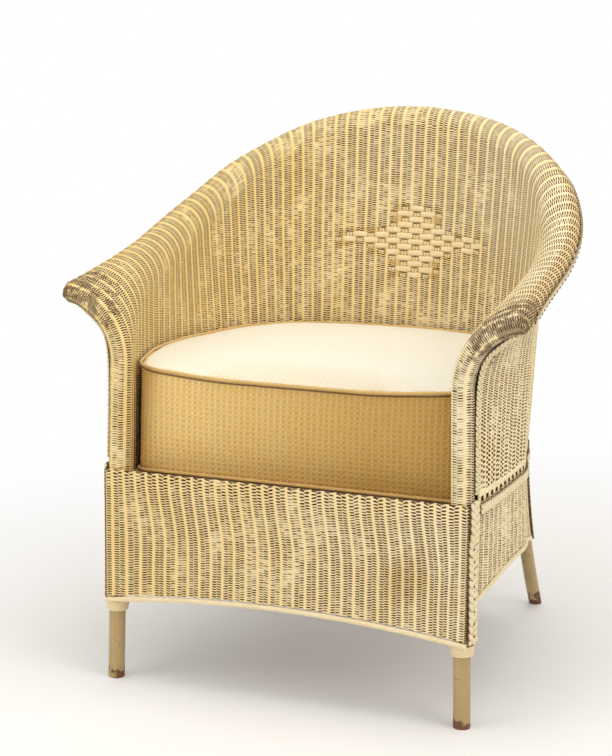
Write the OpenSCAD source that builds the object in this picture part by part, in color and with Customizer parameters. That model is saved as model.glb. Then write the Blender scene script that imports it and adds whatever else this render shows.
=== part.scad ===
// Barrel armchair of woven fibre on a frame of bent poles, with a loose seat cushion.
// Millimetres. The front faces -Y, +Z is up, the floor is z = 0 and x = 0 is the plane of symmetry.
// Inside the functions y is measured from the line of the front legs. Each node is then moved
// so that the origin lies on the floor in the middle of the chair's depth.

/* [Overall] */
// Height of the rim pole's centre at the middle of the back
back_h = 847; // [820:1:880]
// Height of the rim pole's centre at the arm tips
arm_h = 598; // [585:1:610]
// Half the distance between the centres of the rim at the arm tips
tip_half_w = 346; // [340:1:354]
// Half the distance between the centres of the rim along the arms
rim_half_w = 337; // [331:1:343]
// Distance from the line of the front legs back to the rim's centre
rim_depth = 585; // [570:1:600]
// Height of the top of the wooden seat frame
seat_h = 320; // [310:1:328]

/* [Poles] */
// Diameter of the front posts
pole_d = 25.5; // [24:0.5:27]
// Diameter of the rear posts
rear_pole_d = 22; // [20:0.5:24]
// Diameter of the rim pole inside the rolled edge
bow_d = 23; // [21:0.5:24]
// Radius of the bend that carries each arm post outward to the tip
arm_bend_r = 100; // [92:1:108]
// Lean of the front posts, inward going up
post_lean = 1.4; // [1:0.1:1.8]
// Direction of the arm post at its tip, measured from upright
tip_turn = 78; // [74:1:82]
// Distance of each rear foot from the plane of symmetry
rear_foot_x = 231; // [222:1:238]
// Distance from the line of the front legs back to the rear feet
rear_foot_y = 622; // [600:1:636]

/* [Weave] */
// Thickness of the woven sheets
weave_t = 3; // [2.6:0.1:3.4]
// Width of the flat braids that cover the edges
braid_w = 16; // [12:0.5:18]
// Thickness of the braids
braid_t = 5; // [4:0.5:6]
// Height of the front skirt's lower edge at the legs
skirt_low_h = 128; // [118:1:138]
// Rise of the front skirt's arch at its middle
front_arch = 20; // [12:1:28]
// Height of the front skirt's upper edge above the seat frame
skirt_lip = 15; // [10:1:18]

/* [Cushion] */
// Thickness of the cushion at its front edge
cushion_t = 157; // [140:1:168]
// Rise of the cushion's top from its edge to its middle
cushion_crown = 15; // [8:1:24]
// Extra height of the cushion's sides and rear over its front edge
cushion_rise = 18; // [6:1:24]
// Extra height of the cushion's front corners over the middle of its front edge
top_corner_rise = 10; // [0:1:16]
// Diameter of the piping cord
piping_d = 8; // [6:0.5:9]
// Thickness of the cushion's cover
cover_t = 2; // [1.5:0.1:3]

/* [Springs] */
// Outer diameter of each seat spring
spring_d = 84; // [74:1:90]
// Diameter of the spring wire
spring_wire_d = 4; // [3.5:0.1:4.5]
// Number of turns in each spring
spring_turns = 5; // [4:1:6]

/* [Hidden] */

// Colours as the photograph shows them
cream = [0.91, 0.85, 0.70];
raw_wood = [0.62, 0.45, 0.28];
steel = [0.45, 0.45, 0.47];
jute = [0.72, 0.62, 0.44];
cushion_cloth = [0.93, 0.80, 0.52];
piping_cloth = [0.72, 0.53, 0.24];

// Space kept between neighbouring pieces, and under a piece that rests on another
gap = 0.4;
rest_gap = 0.3;
// Overrun of a cutting shape past the face that it cuts
cut = 2;
// Distance from the line of the front legs back to where the arms begin to curve inward
arm_straight = 220;
// Share of the way from tip to middle of the back that the straight of the arm takes
side_share = 0.27;
// Exponent of the rounded back in plan: 2 is an ellipse, more is squarer
oval_n = 2.6;
// Exponent of the change from the arm post to the side of the seat
bulge_pow = 2.8;
// Share of the way along the rim, and share of its rise reached there
rim_rise_keys = [[0, 0], [0.29, 0.19], [0.48, 0.395], [0.62, 0.64], [0.8, 0.905], [1, 1]];
// Radius from a pole's centre to the middle of the sheet rolled over it
roll_gap = 1.2;
roll_r = pole_d / 2 + roll_gap + weave_t / 2;
// Outer radius of a rolled edge
roll_out_r = roll_r + weave_t / 2;
// Bend of the woven sheet below the rim at the sides and at the middle of the back
side_bend_r = 46;
back_bend_r = 30;
// Lean of the back, outward going up, and the share of the way round over which it sets in
back_lean = 4;
lean_span = 0.17;
// How far the sheet goes round the rim and round the arm posts, as an angle
rim_hook = 112;
post_hook = 190;
// Height of the wooden rails of the seat frame, and their thickness
rail_h = 40;
rail_t = 22;
// Height at which the woven shell ends below, and how far that is under the seat frame's top
shell_drop = 28;
shell_low_h = seat_h - shell_drop;
// Height of the seam between the arm panels and the side skirts
seam_h = seat_h + skirt_lip;
// Place of the rear posts along the sides of the shell, as a share of the way round
post_s = 0.6;
// Distance from the middle of the shell's sheet to the rear post's centre
post_clear = 1;
post_off = weave_t / 2 + post_clear + rear_pole_d / 2;
// Distance from the line of the front legs forward to the middle of the front skirt's sheet
skirt_y = -(roll_out_r + gap + weave_t / 2);
// How far the arm panels' feet stand inside the rim along the arms
panel_inset = 38;
panel_side_x = rim_half_w - panel_inset;
// Distance from the line of the front legs to the arm panels' front edges
panel_y = 8;
// Diameter of the reeds in the skirts' lower edges
reed_d = 8;
reed_sides = 8;
// Foremost and rearmost points, which place the origin in the middle of the depth
front_reach = skirt_y - reed_d / 2;
rear_reach = rear_foot_y + rear_pole_d / 2;
origin_y = (front_reach + rear_reach) / 2;

// Numbers of steps in the curved surfaces
side_steps = 5;
back_steps = 13;
line_rows = 3;
bend_rows = 7;
hook_rows = 6;
corner_steps = 4;
tube_sides = 16;

// Plain helpers
function lerp(a, b, t) = a + (b - a) * t;
function ease(t) = let(c = max(0, min(1, t))) c * c * (3 - 2 * c);
function unit(v) = v / norm(v);
function flat(lists) = [for (l = lists) for (e = l) e];
function mirrored(p) = [-p[0], p[1], p[2]];

// Smooth curve through [place, value] keys, level at its last key
function key_slope(k, i) =
    i == 0 ? (k[1][1] - k[0][1]) / (k[1][0] - k[0][0])
    : i == len(k) - 1 ? 0
    : (k[i + 1][1] - k[i - 1][1]) / (k[i + 1][0] - k[i - 1][0]);
function key_index(k, t, i = 0) = (i >= len(k) - 2 || t < k[i + 1][0]) ? i : key_index(k, t, i + 1);
function key_value(k, t) =
    let(
        i = key_index(k, t),
        h = k[i + 1][0] - k[i][0],
        u = (t - k[i][0]) / h,
        m0 = key_slope(k, i) * h,
        m1 = key_slope(k, i + 1) * h
    )
    (2 * u^3 - 3 * u^2 + 1) * k[i][1] + (u^3 - 2 * u^2 + u) * m0
    + (3 * u^2 - 2 * u^3) * k[i + 1][1] + (u^3 - u^2) * m1;

// The rim in plan. The place s runs from 0 at the arm tip to 1 at the middle of the back.
function side_left(s) = max(0, 1 - s / side_share);
function round_angle(s) = 90 * max(0, s - side_share) / (1 - side_share);
function oval_point(a, w, d) =
    let(r = pow(pow(cos(a) / w, oval_n) + pow(sin(a) / d, oval_n), -1 / oval_n)) [r * cos(a), r * sin(a)];
function rim_plan(s) =
    let(f = side_left(s), o = oval_point(round_angle(s), rim_half_w, rim_depth - arm_straight))
    s < side_share
    ? [rim_half_w + (tip_half_w - rim_half_w) * pow(f, bulge_pow), arm_straight * (1 - f)]
    : [o[0], arm_straight + o[1]];
function rim_out(s) =
    let(d = rim_depth - arm_straight, o = oval_point(round_angle(s), rim_half_w, d))
    unit([pow(o[0] / rim_half_w, oval_n - 1) / rim_half_w, pow(o[1] / d, oval_n - 1) / d]);
function rim_z(s) = arm_h + (back_h - arm_h) * key_value(rim_rise_keys, s);
function in_frame(s, n, z) =
    let(p = rim_plan(s) + n * rim_out(s)) [p[0], p[1], z];
function rim_point(s) = in_frame(s, 0, rim_z(s));

// Upright section through the woven shell at the place s: a line that leans by lean(s), then
// a bend of radius bend_r(s) that turns outward until turn(s), then the roll round the rim.
function along_side(s, front, side, back, span = 1 - side_share) =
    s < side_share ? lerp(side, front, pow(side_left(s), bulge_pow))
    : lerp(side, back, ease((s - side_share) / span));
function lean(s) = along_side(s, -post_lean, 0, back_lean, lean_span);
function turn(s) = along_side(s, tip_turn, 90, 90);
function bend_r(s) = along_side(s, arm_bend_r + roll_r, side_bend_r, back_bend_r);
function bend_centre(s) =
    let(r = bend_r(s) - roll_r) [r * cos(turn(s)), rim_z(s) - r * sin(turn(s))];
// Offset out from the rim and height, at the angle a of the bend, o outside the middle of the sheet
function bend_point(s, a, o) = bend_centre(s) + (bend_r(s) + o) * [-cos(a), sin(a)];
function line_point(s, z, o) =
    let(a = lean(s), top = bend_point(s, a, 0), p = [top[0] - (top[1] - z) * tan(a), z])
    p + o * [-cos(a), sin(a)];
function section_angle(s, row) = row <= line_rows ? lean(s)
    : lerp(lean(s), turn(s), (row - line_rows) / bend_rows);
function section_point(s, row, o) =
    row < line_rows
    ? let(top = bend_point(s, lean(s), 0)) line_point(s, lerp(shell_low_h, top[1], row / line_rows), o)
    : bend_point(s, section_angle(s, row), o);
function shell_point(s, row, o) = let(q = section_point(s, row, o)) in_frame(s, q[0], q[1]);
// Point on the upright part of the shell at the height z
function shell_at(s, z, o) = let(q = line_point(s, z, o)) in_frame(s, q[0], q[1]);

// Centre of the front post: a leaning line, then the bend of the arm
post_bend = bend_centre(0) - arm_bend_r * [cos(post_lean), sin(post_lean)];
function post_x(z) = tip_half_w + post_bend[0] + (post_bend[1] - z) * tan(post_lean);
// Where the arm panels stand at the front, and half the width of the front skirt
panel_front_clear = 3.7;
panel_front_x = post_x(seam_h) + roll_out_r + panel_front_clear;
skirt_inset = 4.5;
skirt_half_w = panel_front_x - skirt_inset;

// Rear post: splayed back below the seat, close behind the shell above it, bent in under the rim
post_seat = shell_at(post_s, seat_h, -post_off);
splay_pow = 1.5;
function splay(z) = pow(max(0, seat_h - z) / seat_h, splay_pow);
function rear_low(z) = [
    lerp(post_seat[0], rear_foot_x, splay(z)),
    lerp(post_seat[1], rear_foot_y, splay(z)),
    z
];
post_top_drop = 6;
post_top = rim_point(post_s) - [0, 0, roll_out_r + gap + post_top_drop];
post_bend_len = 60;
post_bend_up_share = 0.57;
post_bend_in_share = 0.3;
post_bend_h = post_top[2] - post_bend_len;
post_bend_mid = shell_at(post_s, post_bend_h + post_bend_up_share * post_bend_len, -post_off);
leg_steps = 7;
post_steps = 5;
rear_post_path = concat(
    [for (i = [0 : leg_steps - 1]) rear_low(seat_h * i / leg_steps)],
    [for (i = [0 : post_steps]) shell_at(post_s, lerp(seat_h, post_bend_h, i / post_steps), -post_off)],
    [lerp(post_bend_mid, post_top, post_bend_in_share), post_top]
);

// Solid swept by a closed ring of points along a path. The ring's first axis points across
// the path, square to up, and its second axis lies between them.
// The path may have one up for all its points or a list with one for each. A level start
// keeps the first ring horizontal, for a foot.
function path_dir(path, i, level) =
    level && i == 0 ? [0, 0, 1] : unit(path[min(i + 1, len(path) - 1)] - path[max(i - 1, 0)]);
function sweep_points(path, ring, up, level) = [
    for (i = [0 : len(path) - 1])
        let(
            t = path_dir(path, i, level),
            w = is_list(up[0]) ? up[i] : up,
            u = unit(cross(t, w)),
            v = cross(u, t)
        )
        for (q = ring) path[i] + q[0] * u + q[1] * v
];
function ring_faces(n, m, closed) = [
    for (i = [0 : m - (closed ? 1 : 2)]) for (j = [0 : n - 1])
        let(
            a = i * n + j,
            b = i * n + (j + 1) % n,
            c = ((i + 1) % m) * n + (j + 1) % n,
            d = ((i + 1) % m) * n + j
        )
        for (f = [[a, b, c], [a, c, d]]) f
];
function cap_faces(n, m) = concat(
    [for (j = [1 : n - 2]) [0, j + 1, j]],
    [for (j = [1 : n - 2]) [(m - 1) * n, (m - 1) * n + j, (m - 1) * n + j + 1]]
);
module sweep(path, ring, up, level = false) {
    n = len(ring);
    m = len(path);
    polyhedron(sweep_points(path, ring, up, level), concat(ring_faces(n, m, false), cap_faces(n, m)));
}
module sweep_loop(path, ring) {
    m = len(path);
    points = [
        for (i = [0 : m - 1])
            let(
                t = unit(path[(i + 1) % m] - path[(i + m - 1) % m]),
                u = unit(cross(t, [0, 0, 1])),
                v = cross(u, t)
            )
            for (q = ring) path[i] + q[0] * u + q[1] * v
    ];
    polyhedron(points, ring_faces(len(ring), m, true));
}
function oval_ring(w, h, sides = 8) = [
    for (i = [0 : sides - 1]) let(a = 360 * i / sides) [w / 2 * cos(a), h / 2 * sin(a)]
];
function round_ring(d, sides = tube_sides) = oval_ring(d, d, sides);
function box_ring(w, h) = [[w / 2, h / 2], [-w / 2, h / 2], [-w / 2, -h / 2], [w / 2, -h / 2]];

// Thin solid between two layers that share their triangles. The loop lists the points of the
// layers' edge in the order in which the triangles use them.
module two_layers(front, back, faces, loop) {
    n = len(front);
    k = len(loop);
    walls = [
        for (i = [0 : k - 1]) let(a = loop[i], b = loop[(i + 1) % k])
            for (f = [[b, a, a + n], [b, a + n, b + n]]) f
    ];
    polyhedron(
        concat(front, back),
        concat(faces, [for (f = faces) [f[2] + n, f[1] + n, f[0] + n]], walls)
    );
}
// The same for a plain grid: points listed column by column, each with the given rows
function grid_faces(columns, rows) = [
    for (c = [0 : columns - 2]) for (j = [0 : rows - 2])
        let(a = c * rows + j, b = a + rows)
        for (f = [[a, b, b + 1], [a, b + 1, a + 1]]) f
];
function grid_loop(columns, rows) = concat(
    [for (c = [0 : columns - 1]) c * rows],
    [for (j = [1 : rows - 1]) (columns - 1) * rows + j],
    [for (c = [columns - 2 : -1 : 0]) c * rows + rows - 1],
    [for (j = [rows - 2 : -1 : 1]) j]
);
module grid_sheet(front, back, columns, rows) {
    two_layers(front, back, grid_faces(columns, rows), grid_loop(columns, rows));
}
module in_place() { translate([0, -origin_y, 0]) children(); }
module right_or_left(right) { if (right) children(); else mirror([1, 0, 0]) children(); }

// Screws that hold the posts to the seat frame
screw_d = 4.8;
screw_head_d = 10;
screw_head_t = 4;
screw_under_shell = 6;
screw_h = shell_low_h - screw_under_shell;
screw_len = 60;
screw_play = 0.2;
screw_sink = 1;
module screw() {
    cylinder(h = screw_len, d = screw_d, $fn = 24);
    cylinder(h = screw_head_t, d = screw_head_d, $fn = 32);
}
module screw_hole() {
    translate([0, 0, -pole_d]) {
        cylinder(h = screw_len + pole_d + cut, d = screw_d + 2 * screw_play, $fn = 24);
        cylinder(h = screw_head_t + pole_d + screw_play, d = screw_head_d + 2 * screw_play, $fn = 32);
    }
}
module at_front_screw() {
    translate([post_x(screw_h) + pole_d / 2 - screw_head_t - screw_sink, 0, screw_h])
        rotate([0, -90, 0]) children();
}
rear_screw_depth = rear_pole_d / 2 - screw_head_t - screw_sink;
module at_rear_screw() {
    p = rear_low(screw_h);
    d = rim_out(post_s);
    translate(p + rear_screw_depth * [d[0], d[1], 0])
        rotate([0, 0, atan2(d[1], d[0])]) rotate([0, -90, 0]) children();
}

// Front post: a leg and an arm post in one bent pole. The straight part is thinner by a hair, so
// that its end lies inside the bent part.
bend_step = 0.2;
module front_post(right) {
    c = bend_centre(0);
    color(cream) in_place() right_or_left(right) difference() {
        union() {
            translate([post_x(0), 0, 0]) rotate([0, -post_lean, 0])
                translate([0, 0, -cut])
                    cylinder(h = post_bend[1] / cos(post_lean) + 2 * cut, d = pole_d - bend_step, $fn = 48);
            translate([tip_half_w + c[0], 0, c[1]]) rotate([90, 0, 0]) rotate([0, 0, 180 - tip_turn])
                rotate_extrude(angle = tip_turn + post_lean, $fn = 96)
                    translate([arm_bend_r, 0]) circle(d = pole_d, $fn = 48);
        }
        translate([post_x(0), 0, -pole_d / 2]) cube([2 * pole_d, 2 * pole_d, pole_d], center = true);
        at_front_screw() screw_hole();
    }
}
module front_post_left() { front_post(false); }
module front_post_right() { front_post(true); }

// Rear post: a splayed leg that runs on up behind the shell to the rim
module rear_post(right) {
    color(cream) in_place() right_or_left(right) difference() {
        sweep(rear_post_path, round_ring(rear_pole_d), [1, 0, 0], true);
        at_rear_screw() screw_hole();
    }
}
module rear_post_left() { rear_post(false); }
module rear_post_right() { rear_post(true); }

// Places of the bends that all sheets and poles round the seat share, and the same list cut to
// a stretch, so that neighbours stay parallel
all_places = concat(
    [for (i = [0 : side_steps]) side_share * i / side_steps],
    [for (i = [1 : back_steps]) lerp(side_share, 1, i / back_steps)]
);
least_step_s = 0.005;
function rim_places(from, to = 1) = concat(
    [from],
    [for (s = all_places) if (s > from + least_step_s && s < to - least_step_s) s],
    [to]
);
// Rim bow: the bent pole inside the rolled rim, from arm tip to arm tip
bow_clear = 1;
bow_start_s = (pole_d / 2 + bow_clear) / arm_straight * side_share;
function both_sides(points) = concat(points, [for (i = [len(points) - 2 : -1 : 0]) mirrored(points[i])]);
module rim_bow() {
    color(raw_wood) in_place()
        sweep(both_sides([for (s = rim_places(bow_start_s)) rim_point(s)]), round_ring(bow_d), [0, 0, 1]);
}

// Seat frame: a straight front rail and a bent hoop for the sides and the rear
rail_end_x = shell_at(0, seat_h, weave_t / 2)[0] - gap;
hoop_clear = 6;
hoop_start_s = (rail_t / 2 + hoop_clear) / arm_straight * side_share;
rail_clear = 0.9;
hoop_off = weave_t / 2 + rail_clear + rail_t / 2;
rail_mid_h = seat_h - rail_h / 2;
// Distance outside the rim's plan line at which a rail off inside the sheet clears it at all heights
function rail_n(s, off) = min(line_point(s, shell_low_h, off)[0], line_point(s, seat_h, off)[0]);
function hoop_point(s) = in_frame(s, rail_n(s, hoop_off), rail_mid_h);
block_clear = 1;
function hoop_inner_x(y) =
    let(s = y / arm_straight * side_share)
    in_frame(s, rail_n(s, hoop_off + rail_t / 2 + block_clear), rail_mid_h)[0];
module seat_front_rail() {
    color(raw_wood) in_place() difference() {
        translate([-rail_end_x, -rail_t / 2, seat_h - rail_h]) cube([2 * rail_end_x, rail_t, rail_h]);
        for (right = [true, false]) right_or_left(right) at_front_screw() screw_hole();
    }
}
module seat_hoop() {
    color(raw_wood) in_place() difference() {
        sweep(
            both_sides([for (s = rim_places(hoop_start_s)) hoop_point(s)]),
            box_ring(rail_t, rail_h), [0, 0, 1]
        );
        for (right = [true, false]) right_or_left(right) at_rear_screw() screw_hole();
    }
}
block_h = 28;
block_len = 54;
module corner_block(right) {
    y0 = rail_t / 2 + gap;
    color(raw_wood) in_place() right_or_left(right) translate([0, 0, seat_h - rail_h / 2 - block_h / 2])
        linear_extrude(block_h)
            polygon([
                [hoop_inner_x(y0), y0],
                [hoop_inner_x(y0 + block_len), y0 + block_len],
                [hoop_inner_x(y0) - block_len, y0]
            ]);
}
module corner_block_left() { corner_block(false); }
module corner_block_right() { corner_block(true); }
module front_screws() {
    color(steel) in_place() for (right = [true, false]) right_or_left(right) at_front_screw() screw();
}
module rear_screws() {
    color(steel) in_place() for (right = [true, false]) right_or_left(right) at_rear_screw() screw();
}

// Woven shell: the back and both arms in one sheet, rolled over the rim and round the posts.
// The main sheet is a grid of columns from the right arm tip round to the left one. The rolled
// edge is a second grid along the path up the right post, round the rim and down the left post.
places = all_places;
half_columns = len(places) - 1;
columns = 2 * half_columns + 1;
rows = line_rows + bend_rows + 1;
top_row = rows - 1;
function column_place(c) = places[c <= half_columns ? c : 2 * half_columns - c];
function sheet_layer(o) = [
    for (c = [0 : columns - 1]) for (j = [0 : rows - 1])
        let(p = shell_point(column_place(c), j, o)) c <= half_columns ? p : mirrored(p)
];
// Stations of the edge path: [kind, column or row or step, on the left side]
edge_path = concat(
    [for (j = [0 : top_row]) ["post", j, false]],
    [for (b = [1 : corner_steps]) ["corner", b, false]],
    [for (c = [1 : columns - 2]) ["rim", c, false]],
    [for (b = [corner_steps : -1 : 1]) ["corner", b, true]],
    [for (j = [top_row : -1 : 0]) ["post", j, true]]
);
function edge_vertex(e) =
    e[0] == "post" ? (e[2] ? (columns - 1) * rows : 0) + e[1]
    : e[0] == "rim" ? e[1] * rows + top_row
    : (e[2] ? (columns - 1) * rows : 0) + top_row;
// How far the edge is rolled at a station: fully round the posts, less round the rim
function edge_hook(e) =
    e[0] == "rim" ? lerp(post_hook, rim_hook, ease(min(e[1], columns - 1 - e[1]) / 3))
    : post_hook;
function edge_normal(row) = let(a = section_angle(0, row)) [-cos(a), 0, sin(a)];
function rolled_point(e, a, o) =
    e[0] == "rim"
    ? let(
        s = column_place(e[1]),
        q = turn(s) + a,
        p = in_frame(s, (roll_r + o) * -cos(q), rim_z(s) + (roll_r + o) * sin(q))
    ) e[1] <= half_columns ? p : mirrored(p)
    : let(
        row = e[0] == "post" ? e[1] : top_row,
        b = e[0] == "post" ? 0 : 90 * e[1] / corner_steps,
        n = edge_normal(row),
        w = cos(b) * [0, -1, 0] + sin(b) * [n[2], 0, -n[0]],
        p = shell_point(0, row, -roll_r) + (roll_r + o) * (cos(a) * n + sin(a) * w)
    ) e[2] ? mirrored(p) : p;
function rolled_layer(o) = [
    for (e = edge_path) for (m = [1 : hook_rows]) rolled_point(e, edge_hook(e) * m / hook_rows, o)
];
rolled_base = columns * rows;
function rolled_vertex(k, m) = m == 0 ? edge_vertex(edge_path[k]) : rolled_base + k * hook_rows + m - 1;
rolled_faces = [
    for (k = [0 : len(edge_path) - 2]) for (m = [0 : hook_rows - 1])
        let(
            a = rolled_vertex(k, m),
            b = rolled_vertex(k + 1, m),
            c = rolled_vertex(k + 1, m + 1),
            d = rolled_vertex(k, m + 1)
        )
        for (f = a == b ? [[a, c, d]] : [[a, b, c], [a, c, d]]) f
];
shell_loop = concat(
    [for (c = [0 : columns - 1]) c * rows],
    [for (m = [1 : hook_rows]) rolled_vertex(len(edge_path) - 1, m)],
    [for (k = [len(edge_path) - 2 : -1 : 0]) rolled_vertex(k, hook_rows)],
    [for (m = [hook_rows - 1 : -1 : 1]) rolled_vertex(0, m)]
);
module woven_shell() {
    color(cream) in_place() two_layers(
        concat(sheet_layer(weave_t / 2), rolled_layer(weave_t / 2)),
        concat(sheet_layer(-weave_t / 2), rolled_layer(-weave_t / 2)),
        concat(grid_faces(columns, rows), rolled_faces),
        shell_loop
    );
}

// Outer arm panels. Their foot stands on the seam, and they curve out to the underside of the rim.
pace_step = 0.01;
function post_line(s) = shell_at(s, seat_h, -post_off);
post_pace = norm(post_line(post_s + pace_step) - post_line(post_s - pace_step)) / (2 * pace_step);
post_gap_s = (rear_pole_d / 2 + post_clear + 2 * gap) / post_pace;
reed_end_s = reed_d / 4 / post_pace;
panel_from_s = panel_y / arm_straight * side_share;
panel_to_s = post_s - post_gap_s;
function panel_share(s) = ease((s - side_share) / (panel_to_s - side_share));
function panel_foot_n(s) =
    s < side_share ? lerp(panel_side_x, panel_front_x, pow(side_left(s), bulge_pow)) - rim_plan(s)[0]
    : line_point(s, seam_h, 0)[0]
        + lerp(panel_side_x - rim_half_w - line_point(side_share, seam_h, 0)[0], post_off, panel_share(s));
// The curve leaves its foot along the shell's lean and comes to the rim from outside. Its shares
// at the front follow the bend of the arm post, and those along the side are flatter.
panel_rise_share = [0.92, 0.62];
panel_out_share = [1.24, 0.95];
panel_drop_share = [0.2, 0.16];
panel_top_off = -3;
function bezier(p, t) = (1 - t)^3 * p[0] + 3 * t * (1 - t)^2 * p[1] + 3 * t^2 * (1 - t) * p[2] + t^3 * p[3];
function bezier_dir(p, t) =
    unit((1 - t)^2 * (p[1] - p[0]) + 2 * t * (1 - t) * (p[2] - p[1]) + t^2 * (p[3] - p[2]));
function panel_curve(s) =
    let(
        foot = [panel_foot_n(s), seam_h + gap],
        top = [panel_top_off, rim_z(s) - roll_out_r - weave_t / 2 - 2 * gap],
        w = top[0] - foot[0],
        h = top[1] - foot[1],
        k = 1 - pow(side_left(s), bulge_pow),
        rise = lerp(panel_rise_share[0], panel_rise_share[1], k),
        out = lerp(panel_out_share[0], panel_out_share[1], k),
        drop = lerp(panel_drop_share[0], panel_drop_share[1], k)
    )
    [
        foot,
        foot + rise * h * [tan(lean(s)), 1],
        top - [out * w, drop * h],
        top
    ];
function panel_point(s, t, o) =
    let(c = panel_curve(s), d = bezier_dir(c, t), q = bezier(c, t) + o * [d[1], -d[0]])
    in_frame(s, q[0], q[1]);
panel_places = rim_places(panel_from_s, panel_to_s);
panel_columns = len(panel_places);
panel_rows = 9;
function share_list(from, to, n) = [for (i = [0 : n - 1]) lerp(from, to, i / (n - 1))];
module arm_panel(right) {
    t_list = share_list(0, 1, panel_rows);
    color(cream) in_place() right_or_left(right) grid_sheet(
        [for (s = panel_places) for (t = t_list) panel_point(s, t, -weave_t / 2)],
        [for (s = panel_places) for (t = t_list) panel_point(s, t, weave_t / 2)],
        panel_columns, panel_rows
    );
}
module arm_panel_left() { arm_panel(false); }
module arm_panel_right() { arm_panel(true); }

// Side skirts: they hang from the seam, follow the splay of the rear posts and end in an arch
side_low_front = 190;
side_low_rear = 150;
side_arch = 33;
function side_across(s) = (s - panel_from_s) / (panel_to_s - panel_from_s);
function side_low(s) =
    let(u = side_across(s)) lerp(side_low_front, side_low_rear, u) + side_arch * sin(180 * u);
function splay_shift(z) =
    let(low = min(z, seat_h)) rear_low(low) - rear_low(seat_h) - [0, 0, low - seat_h];
function side_point(s, z, o) =
    in_frame(s, panel_foot_n(s) + o, z) + ease(side_across(s)) * splay_shift(z);
skirt_rows = 5;
reed_room_share = 0.75;
reed_room = reed_room_share * reed_d;
function side_row_z(s, t) = lerp(side_low(s) + reed_room, seam_h - gap, t);
module side_skirt(right) {
    t_list = share_list(0, 1, skirt_rows);
    color(cream) in_place() right_or_left(right) grid_sheet(
        [for (s = panel_places) for (t = t_list) side_point(s, side_row_z(s, t), -weave_t / 2)],
        [for (s = panel_places) for (t = t_list) side_point(s, side_row_z(s, t), weave_t / 2)],
        panel_columns, skirt_rows
    );
}
module side_skirt_left() { side_skirt(false); }
module side_skirt_right() { side_skirt(true); }
module side_reed(right) {
    color(cream) in_place() right_or_left(right)
        sweep(
            [for (s = rim_places(panel_from_s, panel_to_s - reed_end_s)) side_point(s, side_low(s), 0)],
            round_ring(reed_d, reed_sides), [0, 0, 1]
        );
}
module side_reed_left() { side_reed(false); }
module side_reed_right() { side_reed(true); }

// Front skirt: flat, nailed in front of the posts, with an arched lower edge
skirt_points = 24;
function front_low(x) = skirt_low_h + front_arch * (1 - pow(x / skirt_half_w, 2));
module front_skirt() {
    x_list = share_list(-skirt_half_w, skirt_half_w, skirt_points);
    color(cream) in_place() translate([0, skirt_y + weave_t / 2, 0]) rotate([90, 0, 0])
        linear_extrude(weave_t) polygon(concat(
            [for (x = x_list) [x, front_low(x) + reed_room]],
            [[skirt_half_w, seam_h], [-skirt_half_w, seam_h]]
        ));
}
module front_reed() {
    color(cream) in_place() sweep(
        [for (x = share_list(-skirt_half_w, skirt_half_w, skirt_points)) [x, skirt_y, front_low(x)]],
        round_ring(reed_d, reed_sides), [0, 1, 0]
    );
}

// Rear skirt: between the rear posts, close behind the shell's lower edge
rear_low_h = 158;
rear_arch = 26;
rear_from_s = post_s + post_gap_s;
rear_places = rim_places(rear_from_s);
rear_columns = len(rear_places);
function rear_across(s) = (s - rear_from_s) / (1 - rear_from_s);
function rear_edge(s) = rear_low_h + rear_arch * sin(90 * rear_across(s));
function rear_point(s, z, o) =
    shell_at(s, max(z, seat_h), -(weave_t + gap) - o) * [[1, 0, 0], [0, 1, 0], [0, 0, 0]]
    + [0, splay_shift(z)[1], z];
function rear_list(o, t_list) = [
    for (k = [0 : 2 * rear_columns - 2])
        let(s = rear_places[min(k, 2 * rear_columns - 2 - k)])
        for (t = t_list)
            let(p = rear_point(s, lerp(rear_edge(s) + reed_room, seam_h, t), o))
                k < rear_columns ? p : mirrored(p)
];
module rear_skirt() {
    t_list = share_list(0, 1, skirt_rows);
    color(cream) in_place() grid_sheet(
        rear_list(-weave_t / 2, t_list), rear_list(weave_t / 2, t_list), 2 * rear_columns - 1, skirt_rows
    );
}
module rear_reed() {
    color(cream) in_place() sweep(
        both_sides([for (s = rim_places(rear_from_s + reed_end_s)) rear_point(s, rear_edge(s), 0)]),
        round_ring(reed_d, reed_sides), [0, 0, 1]
    );
}

// Braids that cover the edges
rim_braid_angle = 198;
braid_off = roll_out_r + gap + braid_t / 2;
function rim_braid_up(s) =
    let(d = rim_out(s)) [-cos(rim_braid_angle) * d[0], -cos(rim_braid_angle) * d[1], sin(rim_braid_angle)];
rim_braid_places = rim_places(2 * bow_start_s);
module rim_braid() {
    color(cream) in_place() sweep(
        both_sides([for (s = rim_braid_places) rim_point(s) + braid_off * rim_braid_up(s)]),
        oval_ring(braid_w, braid_t),
        both_sides([for (s = rim_braid_places) rim_braid_up(s)])
    );
}
edge_braid_w = 7;
edge_braid_steps = 12;
braid_end_share = 0.04;
module panel_braid(right) {
    t_list = share_list(braid_end_share, 1 - braid_end_share, edge_braid_steps);
    off = [0, edge_braid_w / 2 + gap, 0];
    color(cream) in_place() right_or_left(right) sweep(
        [for (t = t_list) panel_point(panel_from_s, t, 0) - off],
        oval_ring(edge_braid_w, braid_t),
        [for (t = t_list) unit(panel_point(panel_from_s, t, 1) - panel_point(panel_from_s, t, 0))]
    );
}
module panel_braid_left() { panel_braid(false); }
module panel_braid_right() { panel_braid(true); }
// The corner braids close the corners between the front skirt and the side skirts
corner_from_y = skirt_y + weave_t;
corner_to_y = panel_y - gap;
corner_braid_w = corner_to_y - corner_from_y;
corner_braid_y = (corner_from_y + corner_to_y) / 2;
corner_rise = 2;
corner_low_h = skirt_low_h + corner_rise;
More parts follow.
